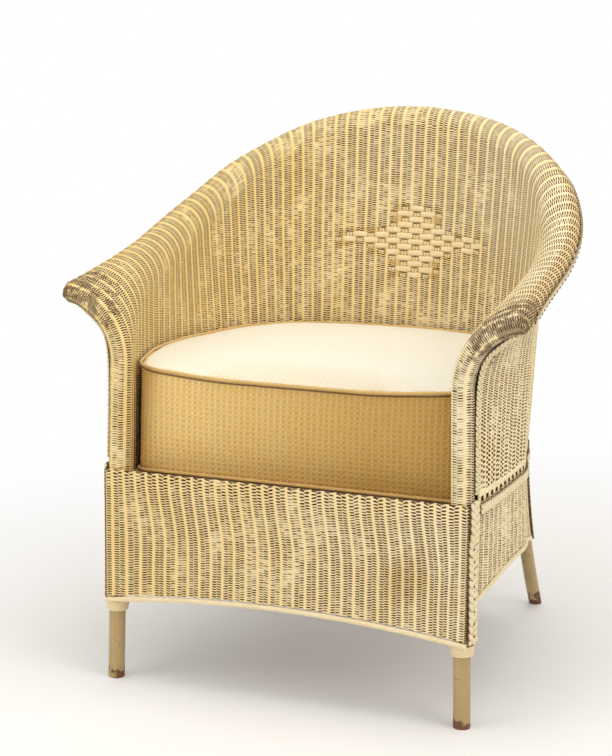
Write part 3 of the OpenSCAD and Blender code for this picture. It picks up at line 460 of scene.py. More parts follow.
@dataclass
class Weave:
    """The woven fabric: in each repeat a smooth rib between two columns of short dashes.

    u counts the pattern's repeats across, and v the woven rows. A rib's middle lies at a half
    count, and a thin stake at each whole count parts the columns of dashes.
    """

    pitch: float = 20.9
    skirt_pitch: float = 18.9
    row: float = 3.76
    rib_half: float = 0.145
    stake_half: float = 0.035
    rib_high: float = 0.95
    stake_high: float = 0.3
    base: float = 0.75
    stops: tuple[float, ...] = (0.0, 0.035, 0.19, 0.355, 0.4, 0.45, 0.5, 0.55, 0.6, 0.645, 0.81, 0.965)
    arc_s: Array = field(init=False, repr=False)
    arc_l: Array = field(init=False, repr=False)
    repeats: int = field(init=False)

    def __post_init__(self) -> None:
        """Measures the rim in plan and fits a whole number of repeats into each half."""
        self.arc_s = np.linspace(1.0, 0.0, 6001)
        x, y = FORM.plan(self.arc_s)
        self.arc_l = np.concatenate([[0.0], np.cumsum(np.hypot(np.diff(x), np.diff(y)))])
        self.repeats = round(self.arc_l[-1] / self.pitch)
        self.pitch = self.arc_l[-1] / self.repeats

    def place(self, u: Array) -> Array:
        """The place s of the repeat count u, which is 0 at the middle of the back."""
        return np.interp(np.abs(u) * self.pitch, self.arc_l, self.arc_s)

    def count(self, s: Array) -> Array:
        """The repeat count at the place s, positive."""
        return np.interp(-np.asarray(s), -self.arc_s, self.arc_l) / self.pitch

    def columns(self, low: float, high: float) -> Array:
        """Counts of the mesh columns from low to high, at the stops of each repeat."""
        whole = np.arange(math.floor(low), math.ceil(high))
        every = (whole[:, None] + np.array(self.stops)[None, :]).ravel()
        inner = every[(every > low + 0.02) & (every < high - 0.02)]
        return np.concatenate([[low], inner, [high]])

    def relief(self, u: Array) -> Array:
        """Height of the fabric over its base: a round rib and a thin round stake per repeat.

        Each is (1 - d squared) to the power 0.7, where d is the distance from its middle as a
        share of its half width.
        """
        mid = np.abs(u - np.floor(u) - 0.5)
        rib = np.clip(1.0 - (mid / self.rib_half) ** 2, 0.0, 1.0) ** 0.7
        stake = np.clip(1.0 - ((0.5 - mid) / self.stake_half) ** 2, 0.0, 1.0) ** 0.7
        return self.rib_high * rib + self.stake_high * stake


WEAVE = Weave()


def corners_of(g: Array) -> Array:
    """The four corners of every cell of a grid (n, m) or (n, m, 2)."""
    return np.stack([g[:-1, :-1], g[1:, :-1], g[1:, 1:], g[:-1, 1:]], axis=2)


def turned(faces: Array, maps: Array) -> tuple[Array, Array]:
    """Faces and their map values with the corners in the other order, triangles still marked."""
    faces, maps = faces[:, ::-1].copy(), maps[:, ::-1].copy()
    triangle = faces[:, 0] == faces[:, 1]
    faces[triangle] = np.roll(faces[triangle], -1, axis=1)
    maps[triangle] = np.roll(maps[triangle], -1, axis=1)
    return faces, maps


@dataclass
class MeshParts:
    """Gathers surfaces as arrays and turns them into one Blender object."""

    points: list[Array] = field(default_factory=list)
    faces: list[Array] = field(default_factory=list)
    maps: list[Array] = field(default_factory=list)
    depths: list[Array] = field(default_factory=list)
    total: int = 0

    def add(self, points: Array, faces: Array, uv: Array, depth: Optional[Array] = None) -> None:
        """Adds quads; a quad whose third and fourth corners are equal is a triangle.

        Args:
            points: Points (n, 3) in millimetres.
            faces: Corner indices (k, 4) into the points.
            uv: Map values (k, 4, 2) of the corners.
            depth: A value for each point, 1 on open surfaces and 0 in recesses.
        """
        self.points.append(points)
        self.faces.append(faces + self.total)
        self.maps.append(uv)
        self.depths.append(np.ones(len(points)) if depth is None else depth)
        self.total += len(points)

    def grid(self, points: Array, uv: Array, depth: Optional[Array] = None, loop: bool = False) -> None:
        """Adds a surface of n by m points, joined round along its second side where loop is set.

        Args:
            points: Points (n, m, 3).
            uv: Map values (n, m, 2), or (n, m + 1, 2) for a loop.
            depth: Values (n, m).
            loop: Whether the second side closes on itself.
        """
        n, m = points.shape[:2]
        idx = np.arange(n * m).reshape(n, m)
        if loop:
            idx = np.concatenate([idx, idx[:, :1]], axis=1)
        self.add(points.reshape(-1, 3), corners_of(idx).reshape(-1, 4), corners_of(uv).reshape(-1, 4, 2),
                 None if depth is None else depth.ravel())

    def tube(self, path: Array, up: Array, half_w: Union[float, Array], half_t: Union[float, Array],
             sides: int = 8, closed: bool = False, depth: Optional[Array] = None,
             start: float = 0.0, groove: float = 0.0) -> None:
        """Adds an oval ring carried along a path, with rounded closed ends.

        A ring point is path + half_w cos(p) across + half_t sin(p) up', where across is square
        to the path and to up, and up' is square to both.

        Args:
            path: Points (n, 3).
            up: Directions (n, 3) or (3,) that the flat side faces.
            half_w: Half width across the path, one value or (n,).
            half_t: Half thickness, one value or (n,).
            sides: Number of points in a ring.
            closed: Whether the path closes on itself.
            depth: Values (n,) carried to the ring's points.
            start: Distance added to the first map value.
            groove: How much lower the carried values are at the ring's two sides, where the strand finish
                then paints shade.
        """
        n = len(path)
        tangent = closed_ways(path) if closed else unit(np.gradient(path, axis=0))
        across = unit(np.cross(tangent, np.broadcast_to(up, path.shape)))
        normal = np.cross(across, tangent)
        angle = np.arange(sides) / sides * TAU
        w = np.broadcast_to(half_w, (n,))[:, None, None]
        t = np.broadcast_to(half_t, (n,))[:, None, None]
        ring = (path[:, None] + w * np.cos(angle)[None, :, None] * across[:, None]
                + t * np.sin(angle)[None, :, None] * normal[:, None])
        length = lengths(path) + start
        girth = float(np.mean(np.broadcast_to(half_w, (n,)))) * TAU
        uv = np.stack(np.broadcast_arrays(length[:, None], np.linspace(0.0, girth, sides + 1)[None]), axis=-1)
        level = None if depth is None else depth[:, None] - groove * np.cos(angle)[None, :] ** 4
        if closed:
            ring = np.concatenate([ring, ring[:1]])
            uv = np.concatenate([uv, uv[-1:] + [np.linalg.norm(path[0] - path[-1]), 0.0]])
            level = None if level is None else np.concatenate([level, level[:1]])
            base = self.total
            self.grid(ring, uv, level, loop=True)
            last = self.faces[-1]
            self.faces[-1] = np.where(last >= base + n * sides, last - n * sides, last)
            return
        base = self.total
        self.grid(ring, uv, level, loop=True)
        for row, way in ((0, -1.0), (n - 1, 1.0)):
            pole = path[row] + way * 0.3 * float(np.min(t)) * tangent[row]
            self.cap(base + row * sides + np.arange(sides), pole, way > 0.0, uv[row, 0],
                     1.0 if depth is None else depth[row])

    def cap(self, ring: Array, pole: Array, last: bool, uv: Union[float, Array] = 0.0,
            depth: float = 1.0) -> None:
        """Closes an end of a loop with a fan.

        Args:
            ring: Indices of the end's points.
            pole: The fan's own point.
            last: Whether the ring is the last one, else it is the first.
            uv: Map value of the whole fan.
            depth: Value carried to the fan's point.
        """
        tip = np.full(len(ring), self.total)
        order = (ring, np.roll(ring, -1)) if last else (np.roll(ring, -1), ring)
        self.add(pole[None], np.stack([*order, tip, tip], axis=-1) - self.total,
                 np.zeros((len(ring), 4, 2)) + uv, np.array([depth]))

    def build(self, name: str, sharp: float = 50.0) -> bpy.types.Object:
        """Makes the object. A closed mesh of negative volume is turned inside out.

        Args:
            name: Name of the piece.
            sharp: Edges bent by more than this angle are drawn sharp, in degrees.

        Returns:
            The object, at the origin, linked to the scene.
        """
        points = to_frame(np.concatenate(self.points))
        faces = np.concatenate(self.faces)
        maps = np.concatenate(self.maps)
        depth = np.concatenate(self.depths)
        used = np.zeros(len(points), dtype=bool)
        used[faces.ravel()] = True
        points, depth = points[used], depth[used]
        faces = (np.cumsum(used) - 1)[faces]
        a, b, c, d = (points[faces[:, i]] for i in range(4))
        volume = np.sum(a * np.cross(b, c)) + np.sum(a * np.cross(c, d))
        if volume < 0:
            faces, maps = turned(faces, maps)
        triangle = faces[:, 2] == faces[:, 3]
        size = np.where(triangle, 3, 4)
        keep = np.ones(faces.shape, dtype=bool)
        keep[triangle, 3] = False
        corners = faces[keep]
        mesh = bpy.data.meshes.new(name)
        mesh.vertices.add(len(points))
        mesh.vertices.foreach_set("co", points.astype(np.float32).ravel())
        mesh.loops.add(len(corners))
        mesh.loops.foreach_set("vertex_index", corners.astype(np.int32))
        mesh.polygons.add(len(faces))
        starts = np.concatenate([[0], np.cumsum(size)[:-1]])
        mesh.polygons.foreach_set("loop_start", starts.astype(np.int32))
        mesh.update(calc_edges=True)
        layer = mesh.uv_layers.new(name="weave")
        layer.data.foreach_set("uv", maps[keep].astype(np.float32).ravel())
        mesh.attributes.new("depth", "FLOAT", "POINT").data.foreach_set("value", depth.astype(np.float32))
        mesh.validate()
        mesh.shade_smooth()
        mesh.set_sharp_from_angle(angle=math.radians(sharp))
        piece = bpy.data.objects.new(name, mesh)
        bpy.context.collection.objects.link(piece)
        return piece


@dataclass
class SheetParts:
    """A thin closed sheet made of patches that share their borders and have two faces."""

    fronts: list[Array] = field(default_factory=list)
    backs: list[Array] = field(default_factory=list)
    quads: list[Array] = field(default_factory=list)
    maps: list[Array] = field(default_factory=list)
    depths: list[Array] = field(default_factory=list)
    total: int = 0

    def patch(self, front: Array, back: Array, uv: Array, depth: Optional[Array] = None) -> None:
        """Adds a patch of n by m points with its two layers.

        Args:
            front: Points (n, m, 3) of one face.
            back: Points (n, m, 3) of the other.
            uv: Map values (n, m, 2), the same for both.
            depth: Values (n, m): how open the weave is.
        """
        n, m = front.shape[:2]
        idx = self.total + np.arange(n * m).reshape(n, m)
        self.quads.append(corners_of(idx).reshape(-1, 4))
        self.maps.append(corners_of(uv).reshape(-1, 4, 2))
        self.fronts.append(front.reshape(-1, 3))
        self.backs.append(back.reshape(-1, 3))
        self.depths.append(np.ones(n * m) if depth is None else np.broadcast_to(depth, (n, m)).ravel())
        self.total += n * m

    def build(self, name: str, sharp: float = 62.0) -> bpy.types.Object:
        """Welds the patches, adds the walls along the free borders and makes the object."""
        front, back = np.concatenate(self.fronts), np.concatenate(self.backs)
        depth = np.concatenate(self.depths)
        quads, maps = np.concatenate(self.quads), np.concatenate(self.maps)
        key = np.round(front / 0.02).astype(np.int64)
        _, first, where = np.unique(key, axis=0, return_index=True, return_inverse=True)
        where = where.reshape(-1)
        front, back, depth = front[first], back[first], depth[first]
        quads = where[quads]
        for i in range(4):
            same = quads[:, i] == quads[:, (i + 1) % 4]
            shift = (i - 2) % 4
            quads[same] = np.roll(quads[same], -shift, axis=1)
            maps[same] = np.roll(maps[same], -shift, axis=1)
        alive = (quads[:, 0] != quads[:, 1]) & (quads[:, 1] != quads[:, 2]) & (quads[:, 0] != quads[:, 2])
        quads, maps = quads[alive], maps[alive]
        n = len(front)
        following = np.roll(quads, -1, axis=1)
        real = (quads != following).ravel()
        ea, eb = quads.ravel()[real], following.ravel()[real]
        ua, ub = maps.reshape(-1, 2)[real], np.roll(maps, -1, axis=1).reshape(-1, 2)[real]
        code = np.minimum(ea, eb) * n + np.maximum(ea, eb)
        _, which, counts = np.unique(code, return_inverse=True, return_counts=True)
        edge = counts[which.reshape(-1)] == 1
        ea, eb, ua, ub = ea[edge], eb[edge], ua[edge], ub[edge]
        walls = np.stack([eb, ea, ea + n, eb + n], axis=-1)
        wall_maps = np.stack([ub, ua, ua, ub], axis=-2)
        mirror, mirror_maps = turned(quads, maps)
        parts = MeshParts()
        parts.add(np.concatenate([front, back]), np.concatenate([quads, mirror + n, walls]),
                  np.concatenate([maps, mirror_maps, wall_maps]), np.concatenate([depth, depth]))
        return parts.build(name, sharp)


def plait(parts: MeshParts, path: Array, up: Array, width: float, thick: float, lay: float,
          strands: int = 3, sides: int = 6, seed: int = 0) -> None:
    """Adds a flat plait along a path.

    Strand k runs at the distance a sin(q + 2 pi k / n) across the path and b sin(2q + 4 pi k / n)
    above it, where q grows by one turn in each lay. Its ring is flat and follows the strand.

    Args:
        parts: Where the strands go.
        path: Points (n, 3), evenly enough spaced.
        up: Directions (n, 3) that the plait's flat side faces.
        width: Full width.
        thick: Full thickness.
        lay: Length of one turn.
        strands: Number of strands.
        sides: Points in a strand's ring.
        seed: Seed of its small irregularities.
    """
    length = lengths(path)
    count = max(8, int(length[-1] / lay * 12))
    at = np.linspace(0.0, length[-1], count)
    centre = resample(path, length, at)
    normal = unit(resample(np.broadcast_to(up, path.shape), length, at))
    tangent = unit(np.gradient(centre, axis=0))
    across = unit(np.cross(tangent, normal))
    normal = np.cross(across, tangent)
    strand_w = width / (strands + 0.2) * 0.62
    strand_t = thick * 0.29
    wobble = 1.0 + 0.06 * ripple(at / lay * 0.7, 0.0 * at, seed)
    for k in range(strands):
        q = (TAU * (at / lay * wobble.mean() + k / strands)
             + 0.18 * ripple(at / lay * 0.5, 0.0 * at + k, seed + 3))
        side = (width / 2 - strand_w) * np.sin(q) * wobble
        high = (thick / 2 - strand_t) * np.sin(2 * q)
        run = centre + side[:, None] * across + high[:, None] * normal
        # depth is low where a strand passes under the others: the strand finish paints shade there
        parts.tube(run, normal, strand_w, strand_t, sides=sides,
                   depth=np.clip(0.6 + 0.5 * np.sin(2 * q), 0.0, 1.0), start=137.0 * k + 11.0 * seed,
                   groove=0.8)


def joined(operation: str, swapped: bool = False) -> Callable[..., "Signal"]:
    """Makes a method of Signal that adds one kind of Math node.

    Args:
        operation: The node's operation.
        swapped: Whether the other value comes before the signal.

    Returns:
        The method, which takes the other value if there is one.
    """
    def method(self: "Signal", *other: "Number") -> "Signal":
        """Joins the signal and the other value."""
        return self.bench.math(operation, *((*other, self) if swapped else (self, *other)))

    return method


class Signal:
    """A number socket of a node tree. Python's operators join it to others with Math nodes."""

    def __init__(self, bench: "Bench", socket: bpy.types.NodeSocket) -> None:
        """Keeps the bench and the socket."""
        self.bench = bench
        self.socket = socket

    __add__ = __radd__ = joined("ADD")
    __sub__, __rsub__ = joined("SUBTRACT"), joined("SUBTRACT", swapped=True)
    __mul__ = __rmul__ = joined("MULTIPLY")
    __truediv__, __pow__ = joined("DIVIDE"), joined("POWER")
    fract, floor, size, wave = joined("FRACT"), joined("FLOOR"), joined("ABSOLUTE"), joined("SINE")
    above = joined("GREATER_THAN")

    def held(self) -> "Signal":
        """The value held between 0 and 1."""
        return self.bench.math("ADD", self, 0.0, clamp=True)

    def step(self, low: float, high: float) -> "Signal":
        """Smooth step from 0 at low to 1 at high."""
        node = self.bench.node("ShaderNodeMapRange", interpolation_type="SMOOTHSTEP")
        self.bench.feed(node.inputs[0], self)
        for i, value in enumerate((low, high, 0.0, 1.0), start=1):
            node.inputs[i].default_value = value
        return Signal(self.bench, node.outputs[0])


Number = Union[float, Signal]
Socket = bpy.types.NodeSocket
Look = dict[str, Union[Number, Socket]]


class Bench:
    """Makes and joins nodes in one tree."""

    def __init__(self, tree: bpy.types.NodeTree) -> None:
        """Keeps the tree."""
        self.tree = tree

    def node(self, kind: str, **settings: object) -> bpy.types.Node:
        """Adds a node and sets its properties."""
        node = self.tree.nodes.new(kind)
        for key, value in settings.items():
            setattr(node, key, value)
        return node

    def feed(self, socket: Socket, value: Union[Number, Socket, tuple]) -> None:
        """Joins a signal or a socket to an input, or sets the input's own value."""
        value = value.socket if isinstance(value, Signal) else value
        if isinstance(value, bpy.types.NodeSocket):
            self.tree.links.new(value, socket)
        else:
            socket.default_value = value

    def fill(self, node: bpy.types.Node, **values: Union[Number, Socket]) -> bpy.types.Node:
        """Feeds a node's inputs by name."""
        for key, value in values.items():
            self.feed(node.inputs[key], value)
        return node

    def math(self, operation: str, *values: Number, clamp: bool = False) -> Signal:
        """Adds a Math node."""
        node = self.node("ShaderNodeMath", operation=operation, use_clamp=clamp)
        for socket, value in zip(node.inputs, values):
            self.feed(socket, value)
        return Signal(self, node.outputs[0])

    def uv(self) -> Socket:
        """The piece's own map."""
        return self.node("ShaderNodeUVMap", uv_map="weave").outputs[0]

    def spot(self) -> Socket:
        """Object coordinates."""
        return self.node("ShaderNodeTexCoord").outputs["Object"]

    def value(self, name: str) -> Signal:
        """A number kept on the mesh."""
        return Signal(self, self.node("ShaderNodeAttribute", attribute_name=name).outputs["Fac"])

    def split(self, vector: Socket) -> tuple[Signal, Signal, Signal]:
        """The three numbers of a vector."""
        node = self.fill(self.node("ShaderNodeSeparateXYZ"), Vector=vector)
        return tuple(Signal(self, out) for out in node.outputs)

    def vector(self, x: Number, y: Number, z: Number = 0.0) -> Socket:
        """A vector of three numbers."""
        return self.fill(self.node("ShaderNodeCombineXYZ"), X=x, Y=y, Z=z).outputs[0]

    def noise(self, vector: Socket, scale: float, detail: float = 2.0, rough: float = 0.5) -> Signal:
        """Smooth noise about 0.5."""
        node = self.node("ShaderNodeTexNoise")
        self.fill(node, Vector=vector, Scale=scale, Detail=detail, Roughness=rough)
        return Signal(self, node.outputs["Fac"])

    def dice(self, vector: Socket) -> Signal:
        """One random number for each place."""
        node = self.node("ShaderNodeTexWhiteNoise", noise_dimensions="3D")
        return Signal(self, self.fill(node, Vector=vector).outputs["Value"])

    def blend(self, share: Number, first: Union[Colour, Socket], second: Union[Colour, Socket],
              kind: str = "MIX") -> Socket:
        """Mixes two colours."""
        node = self.node("ShaderNodeMix", data_type="RGBA", blend_type=kind, clamp_factor=True)
        self.feed(node.inputs[0], share)
        for socket, value in ((node.inputs[6], first), (node.inputs[7], second)):
            self.feed(socket, (*value, 1.0) if isinstance(value, tuple) else value)
        return node.outputs[2]

    def bump(self, height: Number, distance: float, strength: float) -> Socket:
        """A normal tilted by a height that is given in units of distance."""
        node = self.node("ShaderNodeBump")
        return self.fill(node, Strength=strength, Distance=distance, Height=height).outputs[0]

    def group(self, group: bpy.types.NodeTree, **values: Union[Number, Socket]) -> dict[str, Signal]:
        """Adds a shared effect and returns its outputs by name."""
        node = self.fill(self.node("ShaderNodeGroup", node_tree=group), **values)
        return {out.name: Signal(self, out) for out in node.outputs}


class Effects:
    """The node groups that several finishes share."""

    def __init__(self) -> None:
        """Builds each group once."""
        self.weave = self.group("woven_fabric", self.woven_fabric, Map="Vector", Open="Float")
        self.strand = self.group("fibre_strand", self.fibre_strand, Map="Vector", Place="Vector")
        self.chips = self.group("paint_chips", self.paint_chips, Place="Vector", Wear="Float")

    @staticmethod
    def group(name: str, effect: Callable[..., dict[str, Signal]], **inputs: str) -> bpy.types.NodeTree:
        """Makes a node group of an effect.

        Args:
            name: Name of the group.
            effect: Function of the bench and of the inputs by name that gives the outputs by name.
            inputs: Socket kinds by input name.

        Returns:
            The group.
        """
        tree = bpy.data.node_groups.new(name, "ShaderNodeTree")
        for key, kind in inputs.items():
            tree.interface.new_socket(name=key, in_out="INPUT", socket_type="NodeSocket" + kind)
        bench = Bench(tree)
        entry = bench.node("NodeGroupInput")
        values = effect(bench, {out.name: Signal(bench, out) for out in entry.outputs if out.name})
        for key in values:
            tree.interface.new_socket(name=key, in_out="OUTPUT", socket_type="NodeSocketFloat")
        bench.fill(bench.node("NodeGroupOutput"), **values)
        return tree

    @staticmethod
    def woven_fabric(bench: Bench, given: dict[str, Signal]) -> dict[str, Signal]:
        """Slits, strands and colour play of the woven fabric, from the counts u and v.

        Two columns of slits per repeat, one slit per row, each an oval |dx|^4 + |dy|^2 < 1
        about its middle. Smooth noise and a random number per slit say how much paint fills it.
        An Open value of 2 stands for a recess, as round the floats of the lozenge, one over 2.6
        for a seam that the rows cross, and one under -3.1 for a hem that the ribs cross.
        A slit's dark colour is unpainted fibre together with painted shade of the hole. The
        golden output is painted shade: round the slits, in the columns beside the ribs, round
        the floats, and on the rolled rims and tips. Seams and hems get painted shade lines in
        their gaps, and the tone output mixes random tone with painted shade along the rows.
        """
        u, v, _ = bench.split(given["Map"])
        v = v + (bench.noise(bench.vector(u * 0.55, v * 0.02, 5.0), 1.0, 2.0) - 0.5) * 2.4
        f = u.fract()
        second = f.above(0.5)
        row = v + second * 0.4
        column = u.floor() + second * 0.37
        luck = bench.dice(bench.vector(column, row.floor()))
        other = bench.dice(bench.vector(column, row.floor(), 7.0))
        patch = bench.noise(bench.vector(u * 0.45, v * 0.05, 3.0), 1.0, 3.0, 0.6)
        from_rib = (f - 0.5).size()
        dx = (from_rib - 0.302) / (0.19 + other * 0.012)
        dy = (row.fract() - 0.5).size() / (0.22 + luck * 0.06)
        reach = (dx * dx * dx * dx + dy * dy) ** 0.5
        open_share = given["Open"]
        kept = ((patch - 0.5) * 1.7 + (luck - 0.5) * 0.4 + open_share).step(0.0, 0.8)
        slit = (1.0 - reach.step(0.7, 1.1)) * kept
        low = from_rib.step(0.09, 0.15)
        near = (1.0 - reach.step(1.0, 1.6)) * kept
        deep = open_share.step(1.15, 1.9)
        # worn marks the rolled rims and arm tips (Open about 1) and adds gold there: painted shade that tones
        # down the rims the lamps light from above
        worn = open_share.step(0.86, 1.0)
        # seam and hem are painted shade: dark lines in the gaps along the sheets' upright edges and between
        # the ribs along an arm panel's foot
        seam = open_share.step(2.2, 2.6) * (1.0 - (row.fract() - 0.5).size().step(0.33, 0.45))
        hem = (open_share * -1.0).step(2.7, 3.1) * from_rib.step(0.2, 0.27)
        strand = 1.0 - (1.0 - (row.fract() * 2.0 - 1.0).size()) ** 2.0
        strand_high = strand * (low * 0.1 + 0.4)
        grain = bench.noise(bench.vector(u * 30.0, v * 3.0), 1.0, 2.0) * 0.12
        # edge is painted shade: gold in the columns beside the ribs and round each slit, with the rolled rims
        # added; deep adds painted shade round the lozenge's floats
        edge = low * (kept * 0.25 + 0.05) + near * 0.7 + worn * 0.55
        return {
            "Slit": (slit * (1.0 - deep) + seam + hem).held(),
            "Halo": bench.math("MAXIMUM", edge, deep * 0.4),
            "Height": strand_high + grain - slit * 0.5,
            # Tone: random tone plus terms that follow the strand rows and the ribs, which paint shade across
            # each strand
            "Tone": (patch - 0.5) * -0.5 + (other - 0.5) * 0.3 + (strand - 0.6) * 0.9 + (low - 1.0) * 0.35,
        }

    @staticmethod
    def fibre_strand(bench: Bench, given: dict[str, Signal]) -> dict[str, Signal]:
        """Fine lengthwise lines and uneven tone of a fibre strand, from its map in millimetres."""
        along, round_, _ = bench.split(given["Map"])
        lines = bench.noise(bench.vector(along * 0.05, round_ * 1.6), 1.0, 3.0, 0.6)
        twist = (along * 1.75 + round_ * 1.1).wave() * 0.5 + 0.5
        tone = bench.noise(given["Place"], 60.0, 3.0, 0.6)
        return {"Height": lines * 0.6 + twist * 0.4, "Tone": (tone - 0.5) + (lines - 0.5) * 0.5}

    @staticmethod
    def paint_chips(bench: Bench, given: dict[str, Signal]) -> dict[str, Signal]:
        """Worn spots in paint: noise of two sizes over a limit that Wear lowers."""
        coarse = bench.noise(given["Place"], 55.0, 4.0, 0.68)
        fine = bench.noise(given["Place"], 260.0, 3.0, 0.6)
        return {"Bare": (coarse + fine * 0.35 + given["Wear"]).step(0.86, 0.92),
                "Tone": (bench.noise(given["Place"], 24.0, 3.0) - 0.5) + (fine - 0.5) * 0.4}


@dataclass(frozen=True)
class Finish:
    """Base of the finishes: makes one material with a Principled shader."""

    name: str = "finish"

    def look(self, bench: Bench, effects: Effects) -> Look:
        """The shader's inputs by name. Each finish has its own."""
        raise NotImplementedError

    def material(self, effects: Effects) -> bpy.types.Material:
        """A new material, with the shader's inputs fed or set."""
        material = bpy.data.materials.new(self.name)
        material.use_nodes = True
        shader = material.node_tree.nodes["Principled BSDF"]
        bench = Bench(material.node_tree)
        for name, value in self.look(bench, effects).items():
            bench.feed(shader.inputs[name], value)
        return material


@dataclass(frozen=True)
class FabricPaint(Finish):
    """Cream paint over woven fibre; its dark slits are unpainted fibre with painted shade of the holes, and
    its golden recesses are painted shade.
    """

    name: str = "cream_weave"
    lit: Colour = (0.91, 0.66, 0.245)
    pale: Colour = (0.99, 0.90, 0.64)
    # painted shade colour, for the weave's recesses, slit rims and rolled rims
    gold: Colour = (0.52, 0.29, 0.045)
    dark: Colour = (0.085, 0.03, 0.001)
    worn: Colour = (0.20, 0.135, 0.075)
    tip: tuple[float, float, float] = (0.35, -0.32, 0.6)

    def look(self, bench: Bench, effects: Effects) -> Look:
        """Builds the material round the shared weave and the chips.

        The paint is yellower on the chair's left, and it is rubbed off round the tips of the arms.
        """
        spot = bench.spot()
        x, y, z = bench.split(spot)
        dx, dy, dz = x.size() - self.tip[0], y - self.tip[1], z - self.tip[2]
        from_tip = (dx ** 2.0 + dy ** 2.0 + dz ** 2.0) ** 0.5
        rubbed = 1.0 - from_tip.step(0.035, 0.15)
        worn = bench.group(effects.chips, Place=spot, Wear=rubbed * 0.36 - 0.1)
        cloth = bench.group(effects.weave, Map=bench.uv(), Open=bench.value("depth"))
        tone = cloth["Tone"]
        age = bench.noise(spot, 9.0, 3.0) - 0.5
        paint = bench.blend((tone * 0.8 + x * 0.85 + age * 0.6 + 0.46).held(), self.lit, self.pale)
        # painted shade: gold where the weave marks recesses, slit rims and the rolled rims
        warm = bench.blend((cloth["Halo"] * 0.6).held(), paint, self.gold)
        warm = bench.blend(worn["Bare"] * 0.75, warm, self.worn)
        return {
            # dark slits: unpainted fibre with painted shade of the hole behind
            "Base Color": bench.blend(cloth["Slit"], warm, self.dark),
            "Roughness": 0.55 + cloth["Slit"] * 0.3 + tone * 0.06,
            "Specular IOR Level": 0.25 - cloth["Slit"] * 0.25,
            "Normal": bench.bump(cloth["Height"], 0.0012, 0.9),
        }


@dataclass(frozen=True)
class StrandPaint(Finish):
    """Cream paint on plaited and wound strands, darker where they dive under each other."""

    name: str = "cream_strand"
    lit: Colour = (0.80, 0.62, 0.31)
    pale: Colour = (0.90, 0.80, 0.58)
    deep: Colour = (0.10, 0.05, 0.015)
    # how much painted shade falls where strands dive under each other
    grime: float = 0.9

    def look(self, bench: Bench, effects: Effects) -> Look:
        """Builds the material round the shared strand."""
        spot = bench.spot()
        fibre = bench.group(effects.strand, Map=bench.uv(), Place=spot)
        worn = bench.group(effects.chips, Place=spot, Wear=-0.07)
        tone = fibre["Tone"]
        paint = bench.blend(tone + 0.45, self.lit, self.pale)
        # painted shade: dark where depth is low, at plait crossings and the strands' sides
        low = (1.0 - bench.value("depth").step(0.0, 0.55)) * self.grime
        colour = bench.blend(low, paint, self.deep)
        return {
            "Base Color": bench.blend(worn["Bare"] * 0.7, colour, self.deep),
            "Roughness": tone * 0.1 + 0.5,
            "Normal": bench.bump(fibre["Height"], 0.0004, 0.8),
        }


@dataclass(frozen=True)
class PolePaint(Finish):
    """Cream paint on bent poles, chipped to brown wood and rubbed bare at the feet."""

    name: str = "cream_pole"
    lit: Colour = (0.41, 0.28, 0.105)
    pale: Colour = (0.53, 0.385, 0.18)
    bare: Colour = (0.16, 0.065, 0.025)
    foot_h: float = 0.012
    wear: float = 0.0

    def look(self, bench: Bench, effects: Effects) -> Look:
        """Builds the material from Object coordinates."""
        spot = bench.spot()
        x, y, z = bench.split(spot)
        rubbed = (1.0 - z.step(self.foot_h * 0.3, self.foot_h * 2.2)) * 0.28
        worn = bench.group(effects.chips, Place=spot, Wear=rubbed + self.wear)
        tone = worn["Tone"]
        streak = bench.noise(bench.vector(x * 260.0, y * 260.0, z * 14.0), 1.0, 3.0)
        paint = bench.blend(tone + streak * 0.5 + 0.2, self.lit, self.pale)
        rings = bench.noise(bench.vector(x * 6.0, y * 6.0, z * 42.0), 1.0, 1.0) - 0.5
        rings = 1.0 - rings.size().step(0.0, 0.012)
        paint = bench.blend(rings * 0.35, paint, self.bare)
        bare = worn["Bare"]
        return {
            "Base Color": bench.blend(bare, paint, self.bare),
            "Roughness": bare * 0.3 + 0.42,
            "Normal": bench.bump(streak * 0.3 - bare, 0.0006, 0.8),
        }


@dataclass(frozen=True)
class BareWood(Finish):
    """Unfinished wood with long grain along the part."""

    name: str = "raw_wood"
    light: Colour = (0.52, 0.33, 0.16)
    dark: Colour = (0.27, 0.14, 0.06)

    def look(self, bench: Bench, effects: Effects) -> Look:
        """Builds the material from Object coordinates."""
        x, y, z = bench.split(bench.spot())
        rings = bench.noise(bench.vector(x * 3.0, y * 3.0, z * 130.0), 1.0, 4.0, 0.6)
        fine = bench.noise(bench.vector(x * 20.0, y * 20.0, z * 700.0), 1.0, 2.0, 0.5)
        return {
            "Base Color": bench.blend((rings + fine * 0.3).step(0.35, 0.85), self.light, self.dark),
            "Roughness": fine * 0.2 + 0.55,
            "Normal": bench.bump(fine + rings, 0.0005, 0.5),
        }


@dataclass(frozen=True)
class OldSteel(Finish):
    """Drawn steel with thin rust."""

    name: str = "old_steel"
    metal: Colour = (0.42, 0.41, 0.40)
    rust: Colour = (0.19, 0.075, 0.03)
    share: float = 0.5

    def look(self, bench: Bench, effects: Effects) -> Look:
        """Builds the material from Object coordinates."""
        spot = bench.spot()
        rust = (bench.noise(spot, 70.0, 4.0, 0.65) + bench.noise(spot, 600.0, 2.0) * 0.2).step(
            1.05 - self.share, 1.25 - self.share)
        return {
            "Base Color": bench.blend(rust, self.metal, self.rust),
            "Metallic": 1.0 - rust * 0.9,
            "Roughness": rust * 0.45 + 0.35,
            "Normal": bench.bump(rust, 0.0002, 0.7),
        }


